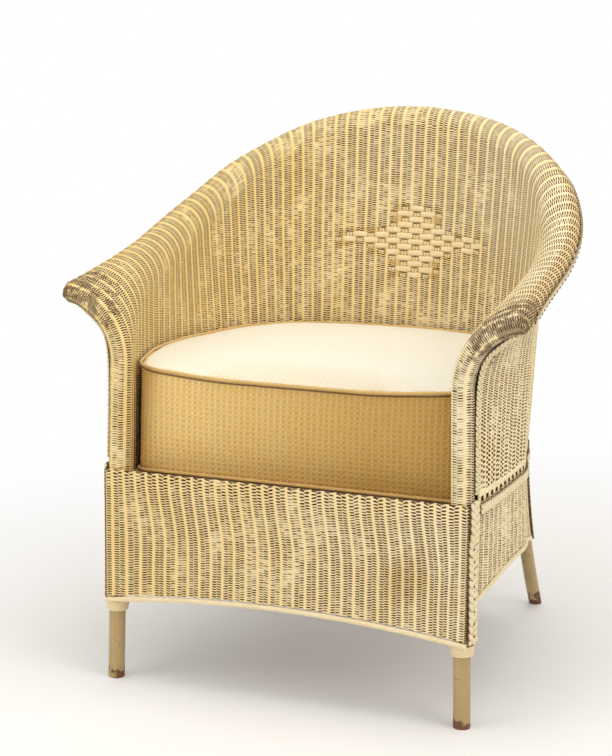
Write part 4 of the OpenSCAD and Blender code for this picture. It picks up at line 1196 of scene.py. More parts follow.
@dataclass(frozen=True)
class Burlap(Finish):
    """Open plain weave of jute."""

    name: str = "jute_burlap"
    light: Colour = (0.52, 0.37, 0.19)
    dark: Colour = (0.20, 0.12, 0.05)
    pitch: float = 0.0022

    def look(self, bench: Bench, effects: Effects) -> Look:
        """Builds the material from Object coordinates: two crossing rows of yarns."""
        spot = bench.spot()
        x, y, _ = bench.split(spot)
        drift = (bench.noise(spot, 40.0, 2.0) - 0.5) * 1.1
        a = (x / self.pitch + drift) * math.pi
        b = (y / self.pitch + drift) * math.pi
        warp, weft = a.wave().size(), b.wave().size()
        over = bench.math("MAXIMUM", warp, weft)
        tone = bench.noise(spot, 320.0, 3.0)
        return {
            "Base Color": bench.blend((over * 0.9 + tone * 0.4).step(0.35, 1.05), self.dark, self.light),
            "Roughness": 0.9,
            "Sheen Weight": 0.2,
            "Normal": bench.bump(warp + weft, 0.0006, 0.9),
        }


@dataclass(frozen=True)
class WaffleCloth(Finish):
    """Golden cotton with a small staggered waffle of pale dots, from a map in millimetres."""

    name: str = "waffle_cloth"
    ground: Colour = (0.97, 0.59, 0.093)
    dots: Colour = (1.0, 0.93, 0.68)
    bars: Colour = (0.66, 0.37, 0.06)
    # paler cream for faces that look up: sun fading with painted light on the lit top
    faded: Colour = (0.94, 0.93, 0.81)
    shade: Colour = (0.60, 0.50, 0.30)
    # painted shadow: colour of the dark line just under the upper piping
    seam: Colour = (0.13, 0.06, 0.015)
    cell_w: float = 9.55
    cell_h: float = 7.56
    seam_v: float = 0.0

    def look(self, bench: Bench, effects: Effects) -> Look:
        """Builds the material.

        Each cell has a dark square |2x|^4 + |2y|^4 < 1 between two columns of upright pale
        dashes, and a less pale bar above it. Faces that look up are paler: sun fading and painted
        light on the lit top. The cloth is darker towards the chair's right, painted shade, and a
        dark line just under the upper piping is a painted shadow.
        """
        u, v, _ = bench.split(bench.uv())
        spot = bench.spot()
        facing = bench.split(bench.node("ShaderNodeNewGeometry").outputs["Normal"])[2]
        up, flat = facing.step(0.25, 0.92), facing.step(0.90, 0.99)
        across = bench.split(spot)[0]
        drift = (bench.noise(bench.vector(u * 0.03, v * 0.03), 1.0, 2.0) - 0.5) * 5.0
        x, y = (u + drift) / self.cell_w, (v + drift * 0.5) / self.cell_h
        luck = bench.dice(bench.vector(x.floor(), y.floor()))
        fx, fy = x.fract() - 0.5, y.fract() - 0.5
        square = 1.0 - ((fx / 0.34).size() ** 3.0 + ((fy - 0.05) / 0.30).size() ** 3.0).step(0.35, 1.5)
        dash_x = ((x - fy * 0.2).fract() - 0.5).size() - 0.5
        dash = 1.0 - ((dash_x / 0.13).size() ** 2.0 + ((fy - 0.02) / 0.38).size() ** 3.0).step(0.3, 1.3)
        bar = 1.0 - ((fx / 0.36).size() ** 4.0 + (((fy.size() - 0.5) / 0.14).size()) ** 2.0).step(0.3, 1.4)
        yarn = ((u * (TAU / 1.1)).wave() * (v * (TAU / 1.1)).wave()) * 0.5 + 0.5
        tone = bench.noise(spot, 18.0, 3.0)
        base = bench.blend(yarn * 0.15 + tone * 0.25, self.ground, self.dots)
        colour = bench.blend(square * (luck * 0.2 + 0.15), base, self.bars)
        colour = bench.blend(bar * 0.06, colour, self.dots)
        colour = bench.blend(dash * (luck * 0.2 + 0.8), colour, self.dots)
        colour = bench.blend((across * 2.2 + 0.72).held(), colour, self.shade, "MULTIPLY")
        # sun fading and painted light: paler where the faces look up
        colour = bench.blend(up * 0.25 + flat * 0.55, colour, self.faded)
        # painted shadow: a dark line just under the upper piping, on faces that do not look up
        line = 1.0 - ((v - self.seam_v).size() / 2.0).step(0.35, 1.0)
        return {
            "Base Color": bench.blend(line * (1.0 - up) * 0.85, colour, self.seam),
            "Roughness": square * 0.1 + 0.62,
            "Sheen Weight": 0.15,
            "Sheen Roughness": 0.5,
            "Normal": bench.bump(dash * 0.8 + bar * 0.3 - square * 0.8 + yarn * 0.1, 0.0008, 0.7),
        }


@dataclass(frozen=True)
class PipingCloth(Finish):
    """The cushion's cloth cut on the slant over a cord: small bars that wind round it."""

    name: str = "piping_cloth"
    ground: Colour = (0.50, 0.27, 0.06)
    light: Colour = (0.82, 0.57, 0.20)

    def look(self, bench: Bench, effects: Effects) -> Look:
        """Builds the material from the map in millimetres."""
        along, round_, _ = bench.split(bench.uv())
        wind = (along * 0.95 + round_ * 0.7) / 2.6
        cross = (along * 0.5 - round_ * 0.9) / 2.6
        weave = (wind * TAU).wave() * (cross * TAU).wave() * 0.5 + 0.5
        tone = bench.noise(bench.spot(), 45.0, 3.0)
        pucker = bench.noise(bench.vector(along * 0.12, round_ * 0.05), 1.0, 3.0)
        return {
            "Base Color": bench.blend(weave * 0.55 + tone * 0.5, self.ground, self.light),
            "Roughness": 0.68,
            "Sheen Weight": 0.3,
            "Normal": bench.bump(weave * 0.4 + pucker, 0.0011, 0.7),
        }


class Finishes:
    """Every finish of the chair, built once."""

    def __init__(self) -> None:
        """Builds the shared effects and the materials."""
        effects = Effects()
        self.fabric = FabricPaint().material(effects)
        self.strand = StrandPaint().material(effects)
        self.float_ = StrandPaint("cream_float", (0.80, 0.61, 0.29), (0.92, 0.81, 0.56)).material(effects)
        self.pole = PolePaint().material(effects)
        self.worn_pole = PolePaint("cream_pole_worn", foot_h=0.02, wear=0.03).material(effects)
        self.wood = BareWood().material(effects)
        self.steel = OldSteel().material(effects)
        self.tack = OldSteel("dark_tack", (0.16, 0.12, 0.08), (0.09, 0.045, 0.02), 0.6).material(effects)
        self.burlap = Burlap().material(effects)
        self.cloth = WaffleCloth(seam_v=Cushion().seam_high - 5.0).material(effects)
        self.piping = PipingCloth().material(effects)


def dress(piece: bpy.types.Object, material: bpy.types.Material, *nodes: str,
          slot: Slot = Slot.FIBRE, body: str = CHAIR) -> bpy.types.Object:
    """Gives a new piece its material and body, and hides the CAD nodes that it stands for."""
    piece.data.materials.clear()
    piece.data.materials.append(material)
    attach(piece, body)
    if nodes:
        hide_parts(*nodes)
    LOG.info("%s: %d faces, on %s, for %s", piece.name, len(piece.data.polygons), body,
             ", ".join(nodes) or "-")
    return piece


def paint_node(name: str, material: bpy.types.Material) -> None:
    """Gives a CAD node that stays its material."""
    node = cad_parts[name]
    node.data.materials.clear()
    node.data.materials.append(material)
    LOG.info("%s keeps its CAD shape", name)


def rib_sway(u: Array, h: Array, seed: int, size: float = 0.05) -> Array:
    """Small sideways waving of the ribs, in repeats: each rib wanders slowly along its height."""
    return size * ripple(np.floor(u) * 0.31, h / 90.0, seed)


@dataclass
class WovenShell:
    """The back and both arms: one sheet rolled over the rim and round the posts."""

    upright_rows: int = 30
    flare_rows: int = 13
    roll_rows: int = 15
    rim_hook: float = 112.0
    post_hook: float = 190.0
    diamond_u: float = -1.0
    diamond_z: float = 637.0
    float_h: float = 9.4
    post_closed: float = 0.4
    float_rows: tuple[tuple[int, int], ...] = (
        (0, 0), (-1, 1), (0, 0), (-1, 1), (-2, 2), (-5, 3), (-6, 6), (-5, 5), (-2, 2), (-1, 1),
        (0, 0), (-1, 1), (0, 0))

    def floats_at(self) -> Array:
        """Middles (n, 2) of the lozenge's floats: counts u and heights z.

        Each row is given by its first and last float, from the lowest row up. Its floats lie
        two repeats apart, and the next row's lie between them.
        """
        return np.array([(self.diamond_u + k, self.diamond_z + (i - len(self.float_rows) // 2) * self.float_h)
                         for i, (low, high) in enumerate(self.float_rows) for k in range(low, high + 1, 2)])

    def in_diamond(self, u: Array, z: Array) -> Array:
        """1 inside the lozenge of floats and the gaps between them, else 0."""
        i = np.round((z - self.diamond_z) / self.float_h).astype(int) + len(self.float_rows) // 2
        ends = np.array(self.float_rows, dtype=float)[np.clip(i, 0, len(self.float_rows) - 1)]
        inside = (i >= 0) & (i < len(self.float_rows))
        at = u - self.diamond_u
        return (inside & (at > ends[..., 0] - 1.1) & (at < ends[..., 1] + 1.1)).astype(float)

    @staticmethod
    def layers(u: Array, h: Array, surface: Callable[..., Array], fade: Union[float, Array],
               side: Side) -> list[Array]:
        """The two faces of a patch: the surface at plus and minus the fabric's relief.

        Args:
            u: Counts (n, m).
            h: The surface's second parameter (n, m).
            surface: Function of place, second parameter and offset.
            fade: Share of the relief that stays.
            side: Side of the chair.

        Returns:
            Inner and outer points (n, m, 3).
        """
        high = WEAVE.base + WEAVE.relief(u) * fade
        return [surface(WEAVE.place(u), h, o) * side.flip for o in (high, -high)]

    def half(self, side: Side) -> bpy.types.Object:
        """Builds one half of the shell."""
        count = WEAVE.repeats
        u = WEAVE.columns(-count, 0.0) if side is Side.RIGHT else WEAVE.columns(0.0, count)
        parts = SheetParts()
        edge = ease(np.minimum(np.abs(u), count - np.abs(u)) / 2.0)[:, None]

        t = np.linspace(0.0, 1.0, self.upright_rows)[None, :]
        uu = np.broadcast_to(u[:, None], (len(u), self.upright_rows))
        z = lerp(FORM.shell_low_h, FORM.flare_z(WEAVE.place(u))[:, None], t)
        sway = rib_sway(uu, z, 1) * edge * np.sin(math.pi * t) ** 0.5
        inside = self.in_diamond(uu, z)
        high = WEAVE.base + WEAVE.relief(uu) * (1.0 - 0.75 * inside)
        place = WEAVE.place(uu + sway)
        level = lerp(FORM.shell_low_h, FORM.flare_z(place), np.broadcast_to(t, uu.shape))
        front, back = (FORM.shell_at(place, level, o) * side.flip for o in (high, -high))
        uv = np.stack([uu, z / WEAVE.row], axis=-1)
        patchy = 0.72 + 0.14 * ripple(uu * 0.05, z / 190.0, 5)
        # Open 2 inside the lozenge: the weave paints shade round the floats
        parts.patch(front, back, uv, lerp(patchy, 2.0, inside))

        q = np.linspace(0.0, 1.0, self.flare_rows)[None, :]
        uu = np.broadcast_to(u[:, None], (len(u), self.flare_rows))
        place = WEAVE.place(uu)
        front, back = self.layers(uu, np.broadcast_to(q, uu.shape), FORM.flare_at, 1.0 + 0.35 * q, side)
        reach = (FORM.turn(place) - lerp(FORM.lean(place), FORM.turn(place), q)) * FORM.bend_r(place)
        parts.patch(front, back, np.stack([uu, -reach / WEAVE.row], axis=-1),
                    0.72 + 0.16 * ripple(uu * 0.05, 3.0 + 0.0 * uu, 5))

        hook = np.radians(lerp(self.post_hook, self.rim_hook, ease((count - np.abs(u)) / 3.0)))[:, None]
        share = np.linspace(0.0, 1.0, self.roll_rows)[None, :]
        uu = np.broadcast_to(u[:, None], (len(u), self.roll_rows))
        a = hook * share
        front, back = self.layers(uu, a, FORM.rim_roll, 1.35, side)
        parts.patch(front, back, np.stack([uu, a * FORM.roll_r / WEAVE.row], axis=-1), 1.0 + 0.0 * uu)
        self.post(parts, side)
        return parts.build("woven_shell_" + side.tag)

    def post(self, parts: SheetParts, side: Side) -> None:
        """Adds the roll round the arm post and the round corner at the arm's tip."""
        count = WEAVE.repeats
        span = math.radians(self.post_hook)
        reach = span * FORM.roll_r / WEAVE.pitch
        ahead = WEAVE.columns(0.0, reach)
        u_sheet = -count - ahead if side is Side.RIGHT else count + ahead
        at_tip = np.array(0.0)
        t = np.linspace(0.0, 1.0, self.upright_rows)
        q = np.linspace(0.0, 1.0, self.flare_rows)
        flare_z = float(FORM.flare_z(at_tip))
        z = lerp(FORM.shell_low_h, flare_z, t)
        zeros = np.zeros_like(z)
        upright = FORM.shell_at(zeros, z, zeros)
        bend = FORM.flare_at(np.zeros_like(q), q, np.zeros_like(q))
        lean, turn = float(FORM.lean(at_tip)), float(FORM.turn(at_tip))
        flip = side.flip
        arc = (turn - lean) * float(FORM.bend_r(at_tip)) / WEAVE.row
        for base, tilt, v in ((upright, np.full_like(z, lean), z / WEAVE.row),
                              (bend, lerp(lean, turn, q), -arc * (1.0 - q))):
            n, m = len(ahead), len(v)
            a = np.broadcast_to((ahead * WEAVE.pitch / FORM.roll_r)[:, None], (n, m))
            b = np.zeros((n, m))
            uu = np.broadcast_to(u_sheet[:, None], (n, m))
            grow = 1.0 if len(v) == self.upright_rows else 1.0 + 0.35 * q[None, :]
            high = WEAVE.base + WEAVE.relief(uu) * grow
            line, tilts = np.broadcast_to(base, (n, m, 3)), np.broadcast_to(tilt, (n, m))
            points = [FORM.post_roll(line, tilts, a, b, o) * flip for o in (high, -high)]
            front = ease((a / span - 0.22) / 0.12) * ease((0.8 - a / span) / 0.12)
            parts.patch(points[0], points[1], np.stack([uu, np.broadcast_to(v, (n, m))], axis=-1),
                        0.85 - self.post_closed * front)
        steps = 9
        b = np.broadcast_to(np.linspace(0.0, math.pi / 2, steps)[:, None], (steps, len(ahead)))
        a = np.broadcast_to(ahead * WEAVE.pitch / FORM.roll_r, (steps, len(ahead)))
        uu = np.broadcast_to(u_sheet, (steps, len(ahead)))
        base = np.broadcast_to(bend[-1], (steps, len(ahead), 3))
        high = WEAVE.base + WEAVE.relief(uu) * 1.35
        points = [FORM.post_roll(base, np.full(a.shape, turn), a, b, o) * flip for o in (high, -high)]
        arc_v = a * FORM.roll_r / WEAVE.row
        uv = np.stack([count * -side.value - side.value * a * np.cos(b) * FORM.roll_r / WEAVE.pitch,
                       arc_v * np.sin(b)], axis=-1)
        parts.patch(points[0], points[1], uv, 1.0 + 0.0 * uu)

    def floats(self) -> bpy.types.Object:
        """The lozenge of flat floats on the back: pillows over two repeats and three rows each.

        A pillow is a rounded oblong dome: its height is (1 - |x|^4)(1 - |y|^4) to the power 0.45.
        """
        parts = MeshParts()
        rng = np.random.default_rng(SEED)
        for mid_u, mid_z in self.floats_at():
            self.pillow(parts, rng, mid_u, mid_z, 0.73, self.float_h * 0.53, 1.8)
        beside = {(round(u + d - self.diamond_u), round(z, 3))
                  for u, z in self.floats_at() for d in (-1.0, 1.0)}
        for k, z in sorted(beside):
            u = self.diamond_u + k
            # a flat dark pillow above each stake pair: painted shade where the opening shows only shade
            self.pillow(parts, rng, u, z + 0.33 * self.float_h, 0.34, self.float_h * 0.15, 1.0, 0.0)
            for d in (-0.13, 0.13):
                self.pillow(parts, rng, u + d, z - 1.2, 0.085, self.float_h * 0.4, 1.1)
        return parts.build("back_lozenge", sharp=80.0)

    @staticmethod
    def pillow(parts: MeshParts, rng: np.random.Generator, mid_u: float, mid_z: float, half_u: float,
               half_z: float, high: float, light: float = 1.0) -> None:
        """Adds one closed pillow on the inner face of the back.

        Args:
            parts: Where it goes.
            rng: Source of its small irregularities.
            mid_u: Count of its middle.
            mid_z: Height of its middle.
            half_u: Half its width in repeats.
            half_z: Half its height.
            high: How far it stands out.
            light: Its depth value: 0 paints the whole pillow dark, as painted shade for the opening above a
                pair of strands.
        """
        nx, ny = 9, 7
        x, y = np.meshgrid(np.linspace(-1, 1, nx), np.linspace(-1, 1, ny), indexing="ij")
        dome = np.clip((1 - x ** 4) * (1 - y ** 4), 0.0, 1.0) ** 0.45
        loose = 1.0 + 0.06 * rng.uniform(-1, 1, 3)
        u = mid_u + half_u * loose[0] * x * (1.0 - 0.10 * y ** 4)
        z = mid_z + half_z * loose[1] * y * (1.0 - 0.22 * x ** 4) + 0.4 * rng.uniform(-1, 1)
        o = WEAVE.base - 0.6 + high * loose[2] * dome
        flip = np.stack([np.where(u > 0, -1.0, 1.0), 0 * u + 1, 0 * u + 1], axis=-1)
        top = FORM.shell_at(WEAVE.place(u), z, o) * flip
        low = FORM.shell_at(WEAVE.place(u), z, 0.0 * o) * flip
        base = parts.total
        # depth falls to 0 round the pillow's edge, where the strand finish paints shade
        parts.grid(top, np.stack([u * WEAVE.pitch, z], axis=-1), light * np.clip(dome * 1.25 - 0.1, 0.0, 1.0))
        idx = np.arange(nx * ny).reshape(nx, ny)
        ring = np.concatenate([idx[:, 0], idx[-1, 1:], idx[-2::-1, -1], idx[0, -2:0:-1]])
        at = len(ring)
        here, there = nx * ny + np.arange(at), nx * ny + (np.arange(at) + 1) % at
        floor = low.reshape(-1, 3)[ring]
        tip = np.full(at, nx * ny + at)
        faces = np.concatenate([np.stack([np.roll(ring, -1), ring, here, there], axis=-1),
                                np.stack([there, here, tip, tip], axis=-1)])
        parts.add(np.concatenate([floor, floor.mean(axis=0, keepdims=True)]), faces + base - parts.total,
                  np.zeros((len(faces), 4, 2)), np.zeros(at + 1))

    def build(self, finishes: Finishes) -> None:
        """Builds and dresses the shell's pieces."""
        for half in (self.half(Side.RIGHT), self.half(Side.LEFT)):
            dress(half, finishes.fabric, "woven_shell")
        dress(self.floats(), finishes.float_)


@dataclass
class OuterPanels:
    """Arm panels and skirts: flat woven sheets on the outside."""

    panel_rows: int = 34
    skirt_rows: int = 16
    front_rows: int = 26
    scallop: float = 2.6

    def sheet(self, name: str, u: Array, rows: int, surface, heights, open_low: float,
              seed: int, scallop: bool = False, lean: float = 0.0, seam: bool = False,
              hem: bool = False) -> bpy.types.Object:
        """Builds one sheet.

        Args:
            name: Name of the piece.
            u: Counts of its columns.
            rows: Number of its rows.
            surface: Function of counts, share of the height and offset.
            heights: Function of counts and share that gives the distance up the sheet.
            open_low: How open its slits are.
            seed: Seed of its waving.
            scallop: Whether loops of the fibre stand above the top edge.
            lean: How far the ribs move aside from their tops to their feet, in repeats.
            seam: Whether painted shade lines for the gaps show along the upright edges.
            hem: Whether painted shade shows in the gaps between the ribs along the lower edge.

        Returns:
            The object.
        """
        t = np.broadcast_to(np.linspace(0.0, 1.0, rows)[None, :], (len(u), rows))
        uu = np.broadcast_to(u[:, None], t.shape)
        up = heights(uu, t)
        window = np.sin(math.pi * t) ** 0.5 * ease((uu - u[0]) * 0.8) * ease((u[-1] - uu) * 0.8)
        ends = ease((uu - u[0]) / 4.0) * ease((u[-1] - uu) / 4.0)
        moved = uu + rib_sway(uu, up, seed, 0.055) * window + lean * ease((1.0 - t) / 0.6) * ends
        high = WEAVE.base + WEAVE.relief(uu)
        lift = np.zeros_like(t)
        if scallop:
            loop = 1.0 - np.abs(2.0 * (uu - np.floor(uu)) - 1.0) ** 2.5
            lift = np.where(t == 1.0, self.scallop * loop - 0.8, 0.0)
        front, back = surface(moved, t, high), surface(moved, t, -high)
        front[..., 2] += lift
        back[..., 2] += lift
        parts = SheetParts()
        row = up / WEAVE.row
        if scallop:
            row = row - 0.2 * np.maximum(0.0, up - FORM.seam_h + 26.0) / WEAVE.row
        opened = open_low + 0.18 * ripple(uu * 0.12, up / 120.0, seed + 9)
        # painted shade: Open values that darken the gaps at the upright edges and at the foot
        if seam:
            opened[[0, -1], :] = 6.0
        if hem:
            opened[:, 0] = -5.0
        parts.patch(front, back, np.stack([uu, row], axis=-1), opened)
        return parts.build(name)

    @staticmethod
    def level(low: Callable[[Array], Array], top: float) -> Callable[[Array, Array], Array]:
        """Heights of a skirt, as a function of counts and share.

        Args:
            low: Function of counts that gives the height of the reed.
            top: Height of the upper edge.

        Returns:
            The function, which starts just above the reed.
        """
        return lambda u, t: lerp(low(u) + 0.75 * FORM.reed_d, top, t)

    def arm(self, side: Side) -> list[bpy.types.Object]:
        """The outer arm panel and the side skirt. Their counts are those of the shell's rim."""
        u = WEAVE.columns(float(WEAVE.count(FORM.panel_to_s)), float(WEAVE.count(FORM.panel_from_s)))
        heights = lambda u, t: t * (FORM.rim_z(WEAVE.place(u)) - FORM.seam_h - 10.0) + FORM.seam_h
        upper = lambda u, t, o: FORM.panel_point(WEAVE.place(u), t, o) * side.flip
        level = self.level(lambda u: FORM.side_low(WEAVE.place(u)), FORM.seam_h - FORM.gap)
        lower = lambda u, t, o: FORM.side_point(WEAVE.place(u), level(u, t), o) * side.flip
        return [self.sheet("arm_panel_weave_" + side.tag, u, self.panel_rows, upper, heights,
                           0.62, 20 + side.value, hem=True),
                self.sheet("side_skirt_weave_" + side.tag, u, self.skirt_rows, lower, level,
                           0.62, 30 + side.value)]

    def front(self) -> bpy.types.Object:
        """The front skirt: flat, with an arched lower edge and the ribs' ends above its top."""
        half = FORM.skirt_half_w / WEAVE.skirt_pitch
        level = self.level(lambda u: FORM.front_low(u * WEAVE.skirt_pitch), FORM.seam_h - 2.0)
        surface = lambda u, t, o: np.stack([u * WEAVE.skirt_pitch, FORM.skirt_y - o, level(u, t)], axis=-1)
        return self.sheet("front_skirt_weave", WEAVE.columns(-half, half), self.front_rows, surface, level,
                          0.72, 41, scallop=True, lean=0.65, seam=True)

    def rear(self) -> bpy.types.Object:
        """The rear skirt, between the rear posts."""
        high = float(WEAVE.count(FORM.rear_from_s))
        level = self.level(lambda u: FORM.rear_edge(WEAVE.place(u)), FORM.seam_h)

        def surface(u: Array, t: Array, o: Array) -> Array:
            """Point of the rear skirt."""
            p = FORM.rear_point(WEAVE.place(u), level(u, t), o)
            p[..., 0] *= np.where(u < 0, 1.0, -1.0)
            return p

        return self.sheet("rear_skirt_weave", WEAVE.columns(-high, high), self.skirt_rows,
                          surface, level, 0.6, 51)

    def build(self, finishes: Finishes) -> None:
        """Builds and dresses the panels and skirts."""
        for side in Side:
            for piece, node in zip(self.arm(side), ("arm_panel_", "side_skirt_")):
                dress(piece, finishes.fabric, node + side.tag)
        dress(self.front(), finishes.fabric, "front_skirt")
        dress(self.rear(), finishes.fabric, "rear_skirt")


@dataclass
class Trim:
    """Reeds, braids, collars and tacks along the edges."""

    rim_angle: float = 198.0
    rim_from: float = 0.035
    tack_r: float = 2.0
    tack_high: float = 1.1
    tack_step: float = 17.0
    corner_tacks: tuple[float, float, int] = (141.0, 269.0, 8)
    rear_tacks: tuple[float, float, int] = (161.0, 326.0, 9)
    corner_from: float = 130.0
    rear_from: float = 152.0
    collar: tuple[float, float] = (109.0, 124.5)
    collar_turns: int = 5

    def rim_up(self, s: Array) -> Array:
        """Direction that the rim braid faces: down and out below the rim."""
        a = math.radians(self.rim_angle)
        x, y = FORM.out(s)
        return np.stack([-math.cos(a) * x, -math.cos(a) * y, math.sin(a) + 0 * x], axis=-1)

    def rim_path(self, count: int) -> tuple[Array, Array]:
        """Middle line of the rim braid and the directions it faces."""
        s = np.linspace(self.rim_from, 1.0, count)
        up = self.rim_up(s)
        off = FORM.roll_out_r + FORM.gap + FORM.braid_t / 2
        return both(FORM.rim_point(s) + off * up), both(up)

    def corner_at(self, z: Array) -> Array:
        """Middle line of a corner braid, in the corner between front skirt and side skirt."""
        low = np.clip((z + 14.0 - FORM.shell_low_h) / (14.0 - FORM.gap), 0.0, 1.0)
        r = lerp(FORM.pole_d / 2 + 1.4, FORM.roll_out_r, low)
        return np.stack([FORM.front_post_x(z) + r + FORM.gap + FORM.braid_t / 2, -4.0 + 0 * z, z], axis=-1)

    def rear_at(self, z: Array) -> tuple[Array, Array]:
        """Middle line of a rear braid and the direction it faces."""
        x, y = FORM.out(np.array(FORM.post_s))
        d = np.array([float(x), float(y), 0.0])
        return FORM.rear_low(z) + (FORM.rear_pole_d / 2 + FORM.gap + FORM.braid_t / 2) * d, d

    def braids(self, finishes: Finishes) -> None:
        """Every braid, as flat plaits."""
        def lay(name: str, node: str, path: Array, up: Array, width: float, turn: float, seed: int,
                thick: float = FORM.braid_t, strands: int = 3) -> None:
            """Plaits one braid in place of its node."""
            parts = MeshParts()
            plait(parts, path, up, width, thick, turn, strands=strands, seed=seed)
            dress(parts.build(name), finishes.strand, node)

        lay("rim_plait", "rim_braid", *self.rim_path(160), width=FORM.braid_w, turn=24.0, seed=1)
        for side in Side:
            tag, flip = side.tag, side.flip
            t = np.linspace(0.02, 0.98, 40)
            s, zero = np.full_like(t, FORM.panel_from_s), np.zeros_like(t)
            mid = FORM.panel_point(s, t, zero)
            face = unit(FORM.panel_point(s, t, zero + 1.0) - mid)
            turned_face = math.cos(0.62) * face + math.sin(0.62) * np.array([0.0, -1.0, 0.0])
            lay("panel_plait_" + tag, "panel_braid_" + tag, (mid - [0.0, 4.0, 0.0]) * flip,
                turned_face * flip, width=11.0, turn=22.0, seed=2)
            mid = self.corner_at(np.linspace(self.corner_from, FORM.seam_h + 3.0, 30))
            lay("corner_plait_" + tag, "corner_braid_" + tag, mid * flip,
                np.array([0.94, -0.34, 0.0]) * flip + 0 * mid, width=24.0, turn=33.0, seed=3, thick=7.0)
            mid, face = self.rear_at(np.linspace(self.rear_from, FORM.seam_h - FORM.gap, 26))
            lay("rear_plait_" + tag, "rear_braid_" + tag, mid * flip, face * flip + 0 * mid,
                width=20.0, turn=28.0, seed=4, strands=4)
            s = np.linspace(FORM.panel_from_s, FORM.panel_to_s - FORM.post_gap_s, 60)
            off = FORM.weave_t / 2 + FORM.gap + FORM.braid_t / 2
            mid = FORM.side_point(s, FORM.seam_h - 10.0 + 0 * s, off)
            face = np.stack([*FORM.out(s), 0 * s], axis=-1)
            lay("seat_plait_" + tag, "seat_band_" + tag, mid * flip, face * flip,
                width=18.0, turn=26.0, seed=5)

    def reeds(self, finishes: Finishes) -> None:
        """The round reeds in the skirts' lower edges."""
        half = FORM.reed_d / 2
        x = np.linspace(-FORM.skirt_half_w, FORM.skirt_half_w, 90)
        path = np.stack([x, FORM.skirt_y + 0 * x, FORM.front_low(x)], axis=-1)
        self.reed(path, half, "front_reed_round", finishes, "front_reed")
        for side in Side:
            s = np.linspace(FORM.panel_from_s, FORM.panel_to_s - FORM.reed_end_s, 70)
            path = FORM.side_point(s, FORM.side_low(s), 0.0 * s) * side.flip
            self.reed(path, half, "side_reed_round_" + side.tag, finishes, "side_reed_" + side.tag)
        s = np.linspace(FORM.rear_from_s + FORM.reed_end_s, 1.0, 45)
        self.reed(both(FORM.rear_point(s, FORM.rear_edge(s), 0.0 * s)), half, "rear_reed_round",
                  finishes, "rear_reed")

    @staticmethod
    def reed(path: Array, half: float, name: str, finishes: Finishes, node: str) -> None:
        """One reed of slightly uneven thickness."""
        parts = MeshParts()
        n = len(path)
        uneven = half * (1.0 + 0.04 * ripple(np.arange(n) * 0.3, np.zeros(n), n))
        parts.tube(path, UP, uneven, uneven, sides=14)
        dress(parts.build(name), finishes.strand, node, slot=Slot.REED)

    def collars(self, finishes: Finishes) -> None:
        """Wound collars at the top of the front legs: one strand in a close helix."""
        for side in Side:
            k = np.arange(self.collar_turns * 22 + 1) / 22
            share = k / self.collar_turns
            z = lerp(*self.collar, share)
            r = FORM.pole_d / 2 + 2.0 + lerp(0.2, 2.2, share)
            path = np.stack([FORM.front_post_x(z) + r * np.cos(TAU * k), r * np.sin(TAU * k), z], axis=-1)
            parts = MeshParts()
            parts.tube(path * side.flip, UP, 1.6, 1.75, sides=8)
            dress(parts.build("leg_collar_" + side.tag), finishes.strand, "leg_wrap_" + side.tag)

    def tacks(self, finishes: Finishes) -> None:
        """Small domed tack heads along the rim braid and the corner braids."""
        path, up = self.rim_path(400)
        length = lengths(path)
        at = np.arange(self.tack_step, length[-1] - self.tack_step, self.tack_step)
        spots, faces = [resample(path, length, at)], [unit(resample(up, length, at))]
        for side in Side:
            flip = side.flip
            z = np.linspace(*self.corner_tacks)
            spots.append(self.corner_at(z) * flip)
            faces.append(np.tile(np.array([1.0, 0.0, 0.0]) * flip, (len(z), 1)))
            z = np.linspace(*self.rear_tacks)
            mid, face = self.rear_at(z)
            spots.append(mid * flip)
            faces.append(np.tile(face * flip, (len(z), 1)))
        centre, normal = np.concatenate(spots), np.concatenate(faces)
        rng = np.random.default_rng(SEED + 5)
        side_way = unit(np.cross(normal, [0.31, 0.17, 0.93]))
        other = np.cross(normal, side_way)
        astray = rng.uniform(-1.0, 1.0, (len(centre), 1)) * side_way
        centre = centre + (FORM.braid_t / 2 - 0.2) * normal + astray
        sides, rings = 10, ((1.0, 0.0), (0.95, 0.35), (0.6, 0.8))
        angle = np.arange(sides) / sides * TAU
        parts = MeshParts()
        n = len(centre)
        around = (np.cos(angle)[None, :, None] * side_way[:, None]
                  + np.sin(angle)[None, :, None] * other[:, None])
        shape = [centre[:, None] + self.tack_r * r * around + self.tack_high * h * normal[:, None]
                 for r, h in rings]
        top = centre[:, None] + self.tack_high * normal[:, None]
        low = centre[:, None] - 0.6 * normal[:, None]
        points = np.concatenate([*shape, top, low], axis=1)
        i, j = np.arange(sides), (np.arange(sides) + 1) % sides
        tip, last = np.full(sides, len(rings) * sides), (len(rings) - 1) * sides
        walls = [(i + k, j + k, j + k + sides, i + k + sides) for k in range(0, last, sides)]
        ends = [(i + last, j + last, tip, tip), (j, i, tip + 1, tip + 1)]
        one = np.concatenate([np.stack(corners, axis=-1) for corners in walls + ends])
        per = points.shape[1]
        every = (one[None] + (np.arange(n) * per)[:, None, None]).reshape(-1, 4)
        parts.add(points.reshape(-1, 3), every, np.zeros((len(every), 4, 2)))
        dress(parts.build("tack_heads"), finishes.tack, "braid_tacks", slot=Slot.TACKS)

    def build(self, finishes: Finishes) -> None:
        """Builds and dresses every trim."""
        self.braids(finishes)
        self.reeds(finishes)
        self.collars(finishes)
        self.tacks(finishes)


